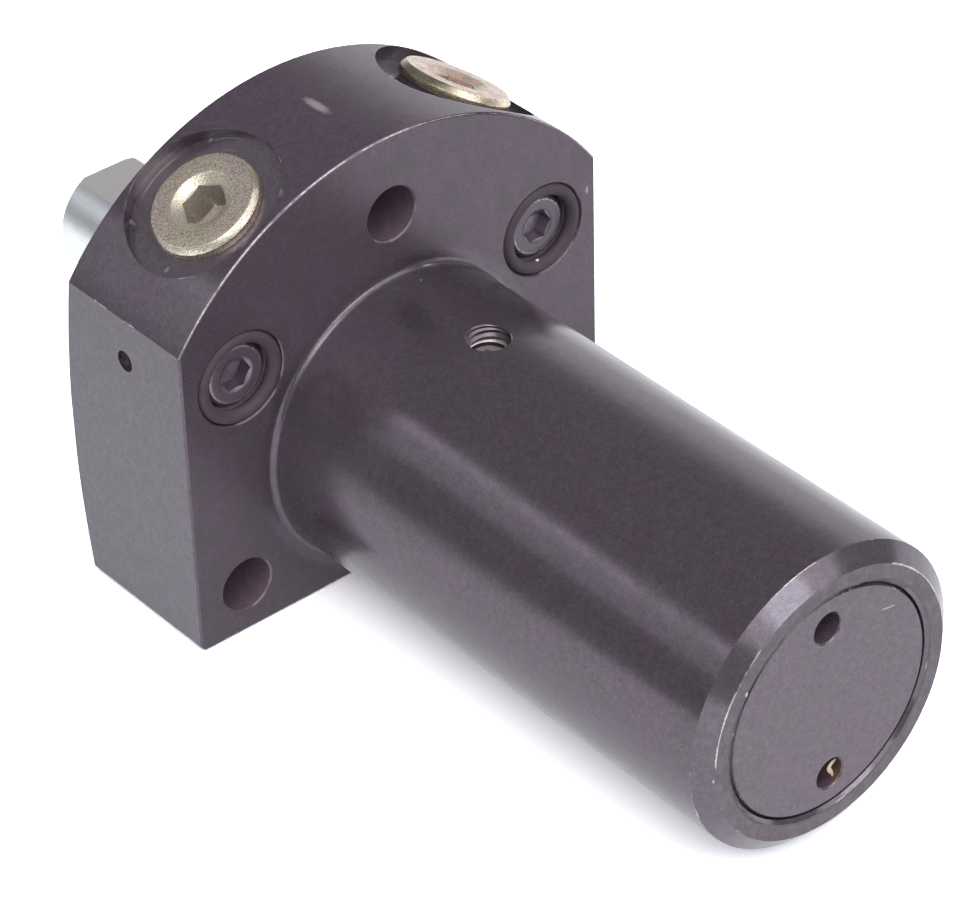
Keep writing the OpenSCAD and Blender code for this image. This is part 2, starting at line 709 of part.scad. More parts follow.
// The seal ring reaches from the spot up into the collar
module plug_seal(side) {
    inner_r = port_thread_d / 2 + 0.3 + seat_gap;
    color([0.1, 0.1, 0.1]) at_plug(side) rotate_extrude() translate([inner_r, -plug_lift(side)])
        square([plug_seal_w, plug_seal_t + plug_lift(side)]);
}

// Manifold port: a flat-headed screw on a sealing washer closes it, and the port's o-ring lies round the head
module manifold_screw(side) {
    color([0.12, 0.12, 0.13]) at_manifold_port(side) translate([0, 0, head_sunk]) difference() {
        union() {
            cylinder(d1 = head_d - 2 * head_bevel, d2 = head_d, h = head_bevel);
            translate([0, 0, head_bevel]) cylinder(d = head_d, h = head_h - head_bevel);
            cylinder(d = close_screw_d, h = head_h + close_screw_len);
        }
        hex_socket(head_socket, head_socket_depth);
    }
}

module manifold_washer(side) {
    color([0.6, 0.4, 0.25]) at_manifold_port(side) translate([0, 0, washer_from]) difference() {
        cylinder(d = head_d + 0.6, h = washer_t);
        translate([0, 0, -1]) cylinder(d = close_screw_d + 4 * seat_gap, h = washer_t + 2);
    }
}

module manifold_o_ring(side) {
    color([0.06, 0.06, 0.06]) at_manifold_port(side)
        rotate_extrude() translate([seal_seat_d / 2 - seat_gap - port_o_ring_d / 2,
            seal_seat_depth - port_o_ring_d / 2 - seat_gap]) circle(d = port_o_ring_d);
}

// Expander plugs: a sleeve with a ball pressed into it closes each drilled way
module expander_sleeve(d) {
    translate([0, 0, expander_sunk]) difference() {
        cylinder(d = d - 2 * seat_gap, h = expander_len);
        translate([0, 0, -1]) cylinder(d = d - 2 * expander_wall, h = expander_len + 0.4);
    }
}

module expander_ball(d) {
    ball_d = d - 2 * expander_wall - 2 * seat_gap;
    translate([0, 0, expander_sunk + expander_len - 0.6 - ball_d / 2 - seat_gap]) sphere(d = ball_d);
}

module gallery_sleeve(side) {
    color([0.45, 0.44, 0.42]) at_side_flat(side) expander_sleeve(side_plug_d);
}

module gallery_ball(side) {
    color([0.6, 0.6, 0.62]) at_side_flat(side) expander_ball(side_plug_d);
}

module back_sleeve(side) {
    color([0.45, 0.44, 0.42]) at_back_face(side) expander_sleeve(back_plug_d);
}

module back_ball(side) {
    color([0.6, 0.6, 0.62]) at_back_face(side) expander_ball(back_plug_d);
}

body();
end_cap();
cap_o_ring();
cap_backup_ring();
gland();
gland_o_ring();
gland_backup_ring();
gland_lock_screw();
rod_seal();
gland_guide_ring();
nose_guide_ring();
wiper();
plunger();
piston();
piston_slide_ring();
piston_spring_ring();
piston_guide_ring(front_ring_from);  // front_piston_guide_ring
piston_guide_ring(back_ring_from);  // back_piston_guide_ring
neck_o_ring();
piston_nut();
nut_lock_screw();
port_plug(LEFT);  // left_port_plug
port_plug(RIGHT);  // right_port_plug
plug_seal(LEFT);  // left_plug_seal
plug_seal(RIGHT);  // right_plug_seal
manifold_screw(LEFT);  // left_manifold_screw
manifold_screw(RIGHT);  // right_manifold_screw
manifold_washer(LEFT);  // left_manifold_washer
manifold_washer(RIGHT);  // right_manifold_washer
manifold_o_ring(LEFT);  // left_manifold_o_ring
manifold_o_ring(RIGHT);  // right_manifold_o_ring
gallery_sleeve(LEFT);  // left_gallery_sleeve
gallery_sleeve(RIGHT);  // right_gallery_sleeve
gallery_ball(LEFT);  // left_gallery_ball
gallery_ball(RIGHT);  // right_gallery_ball
back_sleeve(LEFT);  // left_back_sleeve
back_sleeve(RIGHT);  // right_back_sleeve
back_ball(LEFT);  // left_back_ball
back_ball(RIGHT);  // right_back_ball
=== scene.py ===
"""A hydraulic pull cylinder of blackened steel, lying on its flange's bottom flat.

The barrel points to -Y and the plunger to +Y. Lengths in the sections below are
in millimetres, as on a shop drawing, and become metres where a mesh is made.
"""

import bmesh
import bpy
import numpy as np
from mathutils import Matrix, Vector


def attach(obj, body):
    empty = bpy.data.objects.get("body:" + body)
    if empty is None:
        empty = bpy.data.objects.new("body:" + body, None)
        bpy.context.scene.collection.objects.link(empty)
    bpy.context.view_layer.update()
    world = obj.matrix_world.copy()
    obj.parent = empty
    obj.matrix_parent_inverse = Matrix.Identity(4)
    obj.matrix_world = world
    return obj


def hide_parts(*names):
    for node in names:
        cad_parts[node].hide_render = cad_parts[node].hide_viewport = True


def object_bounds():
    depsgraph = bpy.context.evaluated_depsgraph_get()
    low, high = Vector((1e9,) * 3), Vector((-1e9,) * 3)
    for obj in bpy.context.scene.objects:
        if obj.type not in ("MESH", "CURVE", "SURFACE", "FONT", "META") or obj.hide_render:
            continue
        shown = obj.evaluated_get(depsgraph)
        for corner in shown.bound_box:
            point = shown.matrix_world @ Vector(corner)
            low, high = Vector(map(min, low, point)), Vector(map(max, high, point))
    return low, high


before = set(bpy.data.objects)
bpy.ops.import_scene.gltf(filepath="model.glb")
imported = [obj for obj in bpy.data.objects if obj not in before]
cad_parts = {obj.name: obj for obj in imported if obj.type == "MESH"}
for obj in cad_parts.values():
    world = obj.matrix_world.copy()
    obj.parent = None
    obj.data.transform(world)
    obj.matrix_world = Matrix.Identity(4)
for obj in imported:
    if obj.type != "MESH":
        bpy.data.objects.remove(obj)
cad_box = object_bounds()
MM = 0.001


# Body. Flange and barrel are turned from one steel bar, then the side and bottom flats
# are milled and the ports drilled. The whole piece is chemically blackened and oiled,
# and handling has rubbed its edges bright.

def feed(tree, socket, value):
    """Puts a value on a socket: another node's output is linked, a number is set."""
    if isinstance(value, bpy.types.NodeSocket):
        tree.links.new(value, socket)
    else:
        socket.default_value = value


def calc(tree, operation, a, b=0.0, c=0.0):
    """One Math node on numbers or outputs."""
    node = tree.nodes.new("ShaderNodeMath")
    node.operation = operation
    for socket, value in zip(node.inputs, (a, b, c)):
        feed(tree, socket, value)
    return node.outputs[0]


def reckon(tree, operation, a, b=(0, 0, 0), scale=1.0):
    """One Vector Math node. Lengths, distances and products come out as numbers."""
    node = tree.nodes.new("ShaderNodeVectorMath")
    node.operation = operation
    feed(tree, node.inputs[0], a)
    feed(tree, node.inputs[1], b)
    if operation == "SCALE":
        feed(tree, node.inputs["Scale"], scale)
    number = operation in ("LENGTH", "DISTANCE", "DOT_PRODUCT")
    return node.outputs["Value" if number else "Vector"]


def fade(tree, value, start, end, low=0.0, high=1.0):
    """low where value is at start, high where it is at end, smooth between."""
    node = tree.nodes.new("ShaderNodeMapRange")
    node.interpolation_type = "SMOOTHSTEP"
    for name, given in (("Value", value), ("From Min", start), ("From Max", end),
                        ("To Min", low), ("To Max", high)):
        feed(tree, node.inputs[name], given)
    return node.outputs["Result"]


def grain(tree, place, scale, detail=2.0, roughness=0.5, w=None):
    """Noise from 0 to 1 over a place in millimetres; scale is waves to a millimetre."""
    node = tree.nodes.new("ShaderNodeTexNoise")
    node.noise_dimensions = "3D" if w is None else "4D"
    feed(tree, node.inputs["Vector"], place)
    if w is not None:
        feed(tree, node.inputs["W"], w)
    node.inputs["Scale"].default_value = scale
    node.inputs["Detail"].default_value = detail
    node.inputs["Roughness"].default_value = roughness
    return node.outputs[0]


def mingle(tree, mask, first, second):
    """The first colour where the mask is 0 and the second where it is 1."""
    node = tree.nodes.new("ShaderNodeMix")
    node.data_type = "RGBA"
    feed(tree, node.inputs["Factor"], mask)
    for socket, value in ((node.inputs[6], first), (node.inputs[7], second)):
        feed(tree, socket, value if isinstance(value, bpy.types.NodeSocket) else (*value, 1))
    return node.outputs[2]


def chain(tree, operation, values):
    """One Math operation carried through several numbers."""
    result = values[0]
    for value in values[1:]:
        result = calc(tree, operation, result, value)
    return result


def most(tree, *values):
    """The largest of several numbers."""
    return chain(tree, "MAXIMUM", values)


def least(tree, *values):
    """The smallest of several numbers."""
    return chain(tree, "MINIMUM", values)


def times(tree, *values):
    """The product of several numbers."""
    return chain(tree, "MULTIPLY", values)


def total(tree, *values):
    """The sum of several numbers."""
    return chain(tree, "ADD", values)


def split(tree, vector):
    """The three numbers of a vector."""
    node = tree.nodes.new("ShaderNodeSeparateXYZ")
    feed(tree, node.inputs[0], vector)
    return node.outputs


def gather(tree, x=0.0, y=0.0, z=0.0):
    """A vector from three numbers."""
    node = tree.nodes.new("ShaderNodeCombineXYZ")
    for socket, value in zip(node.inputs, (x, y, z)):
        feed(tree, socket, value)
    return node.outputs[0]


def new_group(name, inputs, outputs):
    """A shader node group with named inputs and outputs: (tree, its inputs, its outputs)."""
    tree = bpy.data.node_groups.new(name, "ShaderNodeTree")
    for way, sockets in (("INPUT", inputs), ("OUTPUT", outputs)):
        for socket, kind in sockets.items():
            tree.interface.new_socket(socket, in_out=way, socket_type="NodeSocket" + kind)
    given = tree.nodes.new("NodeGroupInput").outputs
    return tree, given, tree.nodes.new("NodeGroupOutput").inputs


def use(tree, group, **values):
    """Places a node group in a material and gives its outputs."""
    node = tree.nodes.new("ShaderNodeGroup")
    node.node_tree = group
    for name, value in values.items():
        feed(tree, node.inputs[name], value)
    return node.outputs


def new_finish(name):
    """A material with a bare Principled BSDF: (material, its node tree, the shader's inputs)."""
    material = bpy.data.materials.new(name)
    material.use_nodes = True
    tree = material.node_tree
    skin = next(n for n in tree.nodes if n.type == "BSDF_PRINCIPLED").inputs
    return material, tree, skin


def emboss(tree, skin, height, depth):
    """Bump on the shader: height from 0 to 1 stands for depth millimetres."""
    bump = tree.nodes.new("ShaderNodeBump")
    bump.inputs["Distance"].default_value = depth * MM
    feed(tree, bump.inputs["Height"], height)
    tree.links.new(bump.outputs[0], skin["Normal"])


def dress(node, material):
    """Gives a CAD node a better material in its own material slots."""
    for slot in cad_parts[node].material_slots:
        slot.material = material


# Where a point lies on the part: in millimetres, and as radius and station of the lathe.
lathe_place, given, result = new_group(
    "lathe_place", {},
    {"Place": "Vector", "Radius": "Float", "X": "Float", "Y": "Float", "Z": "Float"})
coordinates = lathe_place.nodes.new("ShaderNodeTexCoord").outputs["Object"]
place = reckon(lathe_place, "SCALE", coordinates, scale=1000.0)
x, y, z = split(lathe_place, place)
radius = reckon(lathe_place, "LENGTH", gather(lathe_place, x, 0.0, z))
for name, value in (("Place", place), ("Radius", radius), ("X", x), ("Y", y), ("Z", z)):
    lathe_place.links.new(value, result[name])

# Turning marks: rings that the cutting tool left round the lathe's axis, a little broken.
turning_marks, given, result = new_group("turning_marks", {"Lines": "Float"}, {"Height": "Float"})
at = use(turning_marks, lathe_place)
turn = reckon(turning_marks, "NORMALIZE", gather(turning_marks, at["X"], 0.0, at["Z"]))
cos_turn, _, sin_turn = split(turning_marks, turn)
rings = gather(turning_marks,
               calc(turning_marks, "MULTIPLY", at["Radius"], given["Lines"]),
               calc(turning_marks, "MULTIPLY", at["Y"], given["Lines"]),
               calc(turning_marks, "MULTIPLY", cos_turn, 1.3))
feed(turning_marks, result["Height"],
     grain(turning_marks, rings, 1.0, 3.0, 0.6, w=calc(turning_marks, "MULTIPLY", sin_turn, 1.3)))

# Bloom of the blackening bath: soft clouds a few millimetres wide, a fine speckle, and
# a Shade near 1 by which both make the colour paler and darker.
black_bloom, given, result = new_group(
    "black_bloom", {"Clouds": "Float"}, {"Bloom": "Float", "Speck": "Float", "Shade": "Float"})
at = use(black_bloom, lathe_place)
billows = grain(black_bloom, reckon(black_bloom, "SCALE", at["Place"], scale=given["Clouds"]),
                1.0, 4.0, 0.62)
speck = grain(black_bloom, at["Place"], 2.6, 3.0, 0.7)
mottle = grain(black_bloom, at["Place"], 0.7, 4.0, 0.75)
feed(black_bloom, result["Bloom"], fade(black_bloom, billows, 0.3, 0.7))
feed(black_bloom, result["Speck"], speck)
feed(black_bloom, result["Shade"], times(
    black_bloom, fade(black_bloom, speck, 0.3, 0.7, 0.86, 1.14),
    fade(black_bloom, mottle, 0.3, 0.7, 0.88, 1.12)))

# A worn edge: bright within Reach millimetres of the edge, on a Share of its length.
worn_edge, given, result = new_group(
    "worn_edge", {"Distance": "Float", "Reach": "Float", "Share": "Float"}, {"Mask": "Float"})
at = use(worn_edge, lathe_place)
ragged = grain(worn_edge, at["Place"], 1.1, 3.0, 0.7)
reach = calc(worn_edge, "MULTIPLY", given["Reach"], fade(worn_edge, ragged, 0.25, 0.75, 0.3, 1.7))
near = fade(worn_edge, calc(worn_edge, "DIVIDE", given["Distance"], reach), 1.0, 0.35)
stretch = grain(worn_edge, at["Place"], 0.13, 3.0, 0.65)
kept = fade(worn_edge, calc(worn_edge, "SUBTRACT", stretch, given["Share"]), 0.05, -0.05)
feed(worn_edge, result["Mask"], calc(worn_edge, "MULTIPLY", near, kept))


def off_axis(tree, arm, axis):
    """Height along an axis and distance from it, for an arm that starts on the axis."""
    along = reckon(tree, "DOT_PRODUCT", arm, axis)
    return along, reckon(tree, "LENGTH", reckon(
        tree, "SUBTRACT", arm, reckon(tree, "SCALE", axis, scale=along)))


def off_ring(tree, place, centre, axis, radius):
    """Distance from a place to a circle: one leg is how far it misses the radius, the other
    how far it misses the circle's plane."""
    along, across = off_axis(tree, reckon(tree, "SUBTRACT", place, centre), axis)
    return reckon(tree, "LENGTH", gather(tree, calc(tree, "SUBTRACT", across, radius), along))


def off_line(tree, first, first_at, second, second_at):
    """Distance to an edge that runs along the third axis."""
    return reckon(tree, "LENGTH", gather(tree, calc(tree, "SUBTRACT", first, first_at),
                                         calc(tree, "SUBTRACT", second, second_at)))


def smudge(tree, place, centre, reach, rough=0.5):
    """A rubbed spot: 1 at its centre, 0 past its reach along X, Y and Z, with a ragged rim."""
    arm = reckon(tree, "DIVIDE", reckon(tree, "SUBTRACT", place, centre), reach)
    ragged = grain(tree, place, 1.3, 4.0, 0.7)
    far = calc(tree, "ADD", reckon(tree, "LENGTH", arm), calc(tree, "MULTIPLY", ragged, rough))
    return fade(tree, far, 1.0 + rough * 0.5, 0.35 + rough * 0.5)


flange_r, half_across, flange_drop, flange_t, back_bevel_t = 60.0, 49.0, 32.0, 36.0, 3.0
barrel_r, barrel_end, end_bevel_w, end_bevel_t, cap_bore_r = 30.0, -115.0, 3.2, 2.8, 23.5
port_from_seat, spot_floor, spot_r = 17.0, 56.75, 15.8
port_angle = np.radians(30.0)
bolt_circle_r, bolt_hole_r, low_hole_x, low_hole_z = 43.5, 5.5, 37.67, -21.75
manifold_x, manifold_z, seal_seat_r, seal_seat_floor = 35.8, 24.2, 9.65, 2.3
lock_from_seat, lock_mouth_r, lock_mouth_z = 26.4, 4.2, 29.8
along_lathe = (0, 1, 0)
black_warm, black_cool = (0.148, 0.112, 0.146), (0.136, 0.121, 0.133)
bare_steel = (0.62, 0.58, 0.55)

blackened_body, tree, skin = new_finish("blackened_body")
at = use(tree, lathe_place)
mm, r, x, y, z = (at[name] for name in ("Place", "Radius", "X", "Y", "Z"))
wide = calc(tree, "ABSOLUTE", x)
folded = gather(tree, wide, y, z)
cloud = use(tree, black_bloom, Clouds=0.16)

# The long edges that hands and the bench have rubbed
front_arc = off_ring(tree, mm, (0, 0.2, 0), along_lathe, flange_r - 0.2)
back_arc = off_ring(tree, mm, (0, flange_t - back_bevel_t, 0), along_lathe, flange_r)
side_front = off_line(tree, wide, half_across, y, 0.0)
side_top = off_line(tree, wide, half_across, r, flange_r)
bottom_front = off_line(tree, z, -flange_drop, y, 0.0)
bottom_corner = off_line(tree, wide, half_across - 0.6, z, 0.6 - flange_drop)
end_outer = off_ring(tree, mm, (0, barrel_end + end_bevel_t, 0), along_lathe, barrel_r)
end_inner = off_ring(tree, mm, (0, barrel_end, 0), along_lathe, barrel_r - end_bevel_w)
end_bore = off_ring(tree, mm, (0, barrel_end, 0), along_lathe, cap_bore_r)
seal_seat = off_ring(tree, folded, (manifold_x, 0, manifold_z), along_lathe, seal_seat_r)
lock_mouth = off_ring(tree, mm, (0, -lock_from_seat, lock_mouth_z), (0, 0, 1), lock_mouth_r)
port_axis = (float(np.sin(port_angle)), 0.0, float(np.cos(port_angle)))
port_height, port_reach = off_axis(
    tree, reckon(tree, "SUBTRACT", folded, (0, port_from_seat, 0)), port_axis)
spot_rim = off_line(tree, port_reach, spot_r, r, flange_r)
left_of_end = fade(tree, reckon(tree, "DISTANCE", mm, (-22.5, barrel_end, 12.0)), 14.0, 7.0)
above_end = fade(tree, reckon(tree, "DISTANCE", mm, (20.5, barrel_end, 17.0)), 12.0, 8.0)
end_share = fade(tree, most(tree, left_of_end, above_end), 0.0, 1.0, 0.36, 0.62)
worn = most(tree, *(
    use(tree, worn_edge, Distance=edge, Reach=reach, Share=share)["Mask"]
    for edge, reach, share in (
        (front_arc, 0.12, 0.54),
        (least(tree, side_front, bottom_front), 0.16, 0.5),
        (least(tree, back_arc, side_top, bottom_corner), 0.16, 0.36),
        (least(tree, end_outer, end_bore), 0.15, 0.4),
        (end_inner, 0.2, end_share),
        (least(tree, seal_seat, spot_rim, lock_mouth), 0.12, 0.40))))

# Spots rubbed through the black: centre, reach along X, Y and Z, raggedness and strength
rubbed = most(tree, *(
    times(tree, smudge(tree, mm, centre, reach, ragged), strength)
    for centre, reach, ragged, strength in (
        ((-2.75, 17.1, 59.9), (1.3, 4.4, 2.0), 0.7, 0.9),
        ((-20.3, 8.3, 56.4), (1.5, 2.0, 1.6), 0.7, 0.5),
        ((-22.0, 5.0, 55.8), (1.3, 2.4, 1.5), 0.7, 0.45),
        ((2.9, -4.0, 29.9), (0.35, 0.35, 0.5), 0.2, 1.0),
        ((-19.3, 27.8, 54.7), (0.8, 0.5, 0.7), 0.4, 1.0),
        ((-37.0, 28.8, 44.2), (0.5, 1.5, 0.5), 1.0, 0.6),
        ((-40.1, 14.5, 42.4), (0.9, 0.6, 0.9), 1.0, 0.5),
        ((46.9, 0.0, 28.2), (0.4, 0.5, 1.1), 0.6, 0.6),
        ((-7.3, barrel_end, 22.2), (0.5, 0.5, 0.35), 0.8, 1.0),
        ((-22.7, barrel_end, 5.9), (0.35, 0.5, 0.7), 0.8, 1.0),
        ((-27.1, barrel_end, -2.0), (0.3, 0.5, 0.8), 0.8, 1.0),
        ((-19.9, barrel_end, 13.0), (0.4, 0.5, 0.7), 0.8, 1.0))))

# Rings that the end mill left on the floor of the left port's spot: real marks, painted
# bright only in two patches where they catch the light, a painted highlight
tool_rings = fade(tree, grain(tree, gather(tree, port_reach), 1.5, 2.0, 0.6), 0.52, 0.60)
mark = most(
    tree, worn, rubbed,
    times(tree, tool_rings, 0.45, smudge(tree, mm, (-28.5, 31.5, 49.2), (7.0, 4.0, 6.5), 0.6)),
    times(tree, tool_rings, 0.3, smudge(tree, mm, (-17.5, 25.5, 55.5), (4.0, 6.0, 3.0), 0.8)))

# The areas that took the black differently. The lower part of the seat face is painted
# darker, a painted shade. The walls of the mounting holes (the top hole's a little less)
# and the floor of the seal seat are painted paler, a painted fill light.
low_hole = reckon(tree, "LENGTH", gather(tree, calc(tree, "SUBTRACT", wide, low_hole_x),
                                         calc(tree, "SUBTRACT", z, low_hole_z)))
top_hole = reckon(tree, "LENGTH", gather(tree, x, calc(tree, "SUBTRACT", z, bolt_circle_r)))
in_hole = fade(tree, least(tree, low_hole, top_hole), bolt_hole_r + 0.35, bolt_hole_r + 0.1)
at_end = fade(tree, y, barrel_end + end_bevel_t + 0.1, barrel_end + end_bevel_t - 0.1)
on_rim = fade(tree, y, barrel_end + 0.05, barrel_end + 0.02)
on_flat = fade(tree, wide, half_across - 0.08, half_across - 0.02)
on_seat = times(tree, fade(tree, calc(tree, "ABSOLUTE", y), 0.03, 0.01),
                fade(tree, r, barrel_r + 2, barrel_r + 4))
low_on_seat = times(tree, on_seat, fade(tree, z, 12.0, -28.0, 0.0, 0.55))
on_arc = times(tree, fade(tree, r, flange_r - 1.2, flange_r - 0.4),
               fade(tree, x, -42.0, -22.0), fade(tree, x, 12.0, -5.0))
at_root = times(tree, fade(tree, r, barrel_r + 0.2, barrel_r + 0.1),
                fade(tree, y, -34.0, -8.0), fade(tree, y, 0.5, 0.2))
off_seal_seat = reckon(tree, "DISTANCE", folded, (manifold_x, seal_seat_floor, manifold_z))
in_seal_seat = times(tree, fade(tree, off_seal_seat, 9.6, 9.4), fade(tree, y, 1.0, 2.0))
on_spot = times(tree, fade(tree, port_reach, spot_r + 0.05, spot_r - 0.05),
                fade(tree, port_height, spot_floor + 0.3, spot_floor + 0.1))
cap_groove = times(tree, on_rim, fade(tree, r, cap_bore_r + 0.8, cap_bore_r + 0.3, 0.0, 0.75))
rim_stain = times(tree, on_rim, fade(tree, grain(tree, mm, 0.5, 4.0, 0.7), 0.62, 0.42))

seat_black = mingle(tree, cloud["Bloom"], (0.130, 0.096, 0.127), (0.114, 0.092, 0.111))
hole_wall_painted_light = mingle(tree, fade(tree, z, 30.0, 36.0), (0.235, 0.17, 0.215), (0.185, 0.132, 0.17))
black = mingle(tree, cloud["Bloom"], black_warm, black_cool)
for mask, tone in (
        (fade(tree, cloud["Speck"], 0.62, 0.8), (0.24, 0.22, 0.24)),
        (at_end, (0.158, 0.134, 0.160)),
        (on_arc, (0.164, 0.124, 0.166)),
        (on_seat, seat_black),
        # painted shade: the seat face darker towards its bottom
        (low_on_seat, (0.075, 0.055, 0.072)),
        (on_flat, (0.163, 0.143, 0.167)),
        (on_spot, (0.205, 0.172, 0.205)),
        # painted fill light on the walls of the mounting holes, the top hole's a little less
        (in_hole, hole_wall_painted_light),
        # painted fill light on the floor of the seal seat
        (in_seal_seat, (0.24, 0.19, 0.23)),
        (cap_groove, (0.05, 0.04, 0.05)),
        (rim_stain, (0.125, 0.102, 0.115))):
    black = mingle(tree, mask, black, tone)
# Painted light: the barrel's root next to the flange is painted paler, most on its left side
root_painted_light = times(tree, at_root, fade(tree, x, -5.0, -22.0, 0.12, 0.34))
black = reckon(tree, "SCALE", black, scale=total(tree, cloud["Shade"], root_painted_light))
tree.links.new(mingle(tree, mark, black, bare_steel), skin["Base Color"])
tree.links.new(calc(tree, "SUBTRACT",
                    fade(tree, most(tree, in_hole, in_seal_seat), 0.0, 1.0, 0.68, 0.25),
                    times(tree, on_seat, 0.22)), skin["Metallic"])
tree.links.new(total(tree, fade(tree, cloud["Bloom"], 0.0, 1.0, 0.13, 0.18),
                     times(tree, cloud["Speck"], 0.06), times(tree, at_end, -0.03),
                     times(tree, on_seat, 0.10), times(tree, at_root, 0.09)), skin["Roughness"])
marks = use(tree, turning_marks, Lines=2.2)["Height"]
emboss(tree, skin, total(tree, times(tree, marks, 0.75), times(tree, cloud["Speck"], 0.5)), 0.006)
dress("body", blackened_body)


# Gland. A cast iron bushing that closes the cylinder's rod side. It is turned, slid in
# from the cap's end and held by a set screw through the barrel's wall. Inside lie the
# rod's lip seal and guide ring, outside an o-ring with its white backup ring.

def plain_finish(name, colour, second, metallic, roughness, depth, clouds=0.5, lines=None,
                 shine=0.5):
    """A finish of two near tones in clouds, with a fine relief, and turning marks if lines
    are given."""
    material, tree, skin = new_finish(name)
    cloud = use(tree, black_bloom, Clouds=clouds)
    tree.links.new(mingle(tree, cloud["Bloom"], colour, second), skin["Base Color"])
    skin["Metallic"].default_value = metallic
    tree.links.new(fade(tree, cloud["Speck"], 0.2, 0.8, roughness - 0.06, roughness + 0.06),
                   skin["Roughness"])
    height = cloud["Speck"]
    if lines:
        height = total(tree, use(tree, turning_marks, Lines=lines)["Height"],
                       times(tree, height, 0.3))
    emboss(tree, skin, height, depth)
    skin["Specular IOR Level"].default_value = shine
    return material


machined_iron = plain_finish("machined_iron", (0.42, 0.42, 0.40), (0.34, 0.34, 0.33),
                             0.9, 0.34, 0.008, lines=3.0)
seal_rubber = plain_finish("seal_rubber", (0.076, 0.057, 0.073), (0.090, 0.069, 0.086),
                           0.0, 0.6, 0.004, shine=0.25)
wiper_rubber = plain_finish("wiper_rubber", (0.032, 0.031, 0.032), (0.050, 0.048, 0.046),
                            0.0, 0.5, 0.006)
lip_seal = plain_finish("lip_seal", (0.07, 0.19, 0.13), (0.09, 0.23, 0.16), 0.0, 0.38, 0.003)
white_backup = plain_finish("white_backup", (0.84, 0.84, 0.80), (0.78, 0.78, 0.73),
                            0.0, 0.45, 0.002)
guide_fabric = plain_finish("guide_fabric", (0.34, 0.17, 0.10), (0.42, 0.22, 0.13),
                            0.0, 0.62, 0.02, clouds=1.6)
set_screw_steel = plain_finish("set_screw_steel", (0.50, 0.42, 0.42), (0.42, 0.35, 0.36),
                               0.6, 0.5, 0.01)
for node, finish in (("gland", machined_iron), ("gland_o_ring", seal_rubber),
                     ("gland_backup_ring", white_backup), ("rod_seal", lip_seal),
                     ("gland_guide_ring", guide_fabric), ("nose_guide_ring", guide_fabric),
                     ("wiper", wiper_rubber), ("gland_lock_screw", set_screw_steel)):
    dress(node, finish)


# Lock hole thread. The set screw of the gland sits deep in its hole, so that the upper
# turns of the M8 thread stay open. The tap cut them after blackening, and they are bare
# grey steel.

def closed_mesh(name, points, body, material, sharp=35.0):
    """A piece from a grid of points in millimetres, row by row. The columns close on
    themselves, and a row that shrinks to one point is a pole."""
    rows, columns = points.shape[:2]
    low = (np.arange(rows - 1)[:, None] * columns + np.arange(columns)).ravel()
    right = (np.arange(rows - 1)[:, None] * columns + (np.arange(columns) + 1) % columns).ravel()
    faces = np.stack([low, right, right + columns, low + columns], 1)
    mesh = bpy.data.meshes.new(name)
    mesh.from_pydata(points.reshape(-1, 3) * MM, [], faces.tolist())
    work = bmesh.new()
    work.from_mesh(mesh)
    bmesh.ops.remove_doubles(work, verts=work.verts, dist=1e-7)
    bmesh.ops.dissolve_degenerate(work, dist=1e-8, edges=work.edges)
    bmesh.ops.holes_fill(work, edges=work.edges, sides=0)
    bmesh.ops.recalc_face_normals(work, faces=work.faces)
    work.to_mesh(mesh)
    work.free()
    mesh.shade_smooth()
    mesh.set_sharp_from_angle(angle=np.radians(sharp))
    piece = bpy.data.objects.new(name, mesh)
    bpy.context.scene.collection.objects.link(piece)
    mesh.materials.append(material)
    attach(piece, body)
    return piece


def screw_ridge(centre, axis, side, outer_r, crest_r, pitch, start, end, steps=32):
    """The ridge of an inside thread: a flat-topped triangle carried along a helix from start
    to end on the axis. It rises from nothing over the first half turn and fades to nothing
    over the last."""
    axis, side = np.array(axis, float), np.array(side, float)
    third = np.cross(axis, side)
    turns = abs(end - start) / pitch
    t = np.linspace(0.0, turns, int(turns * steps))[:, None]
    rise = np.clip(np.minimum(t, turns - t) / 0.5, 0.0, 1.0) ** 0.5
    inward = np.array([0.0, 1.0, 1.0, 0.0]) * (outer_r - crest_r)
    beside = np.array([-0.46, -0.08, 0.08, 0.46]) * pitch
    radius = outer_r - inward * rise
    along = start + (end - start) * t / turns + beside * rise
    turn = t * 2 * np.pi
    return (np.array(centre, float) + along[..., None] * axis
            + (radius * np.cos(turn))[..., None] * side
            + (radius * np.sin(turn))[..., None] * third)


hole_thread_r, hole_crest_r, m8_pitch = 4.06, 3.42, 1.25
hole_thread_top, hole_thread_end = 29.2, 26.3

# The thread darkens upwards, where the rim of the hole shades it
tapped_steel, tree, skin = new_finish("tapped_steel")
at = use(tree, lathe_place)
shaded = fade(tree, at["Z"], 26.9, 27.9)
tree.links.new(mingle(tree, shaded, (0.88, 0.84, 0.83), (0.20, 0.17, 0.19)), skin["Base Color"])
skin["Metallic"].default_value = 0.9
tree.links.new(fade(tree, grain(tree, at["Place"], 2.0), 0.2, 0.8, 0.28, 0.4), skin["Roughness"])
emboss(tree, skin, grain(tree, at["Place"], 3.0), 0.01)
closed_mesh("lock_hole_thread",
            screw_ridge((0, -lock_from_seat, 0), (0, 0, 1), (1, 0, 0), hole_thread_r,
                        hole_crest_r, m8_pitch, hole_thread_top, hole_thread_end),
            "cylinder", tapped_steel)


# Plunger. The rod is ground and hard chromed. Two wrench flats are milled on its end
# after chroming, so that they are duller, and the M12 thread is cut into its tip.
rod_r, wrench_from = 12.0, 76.0
tip_thread_r, tip_crest_r, m12_pitch = 6.02, 5.12, 1.75
tip_thread_from, tip_thread_end = 91.0, 69.0

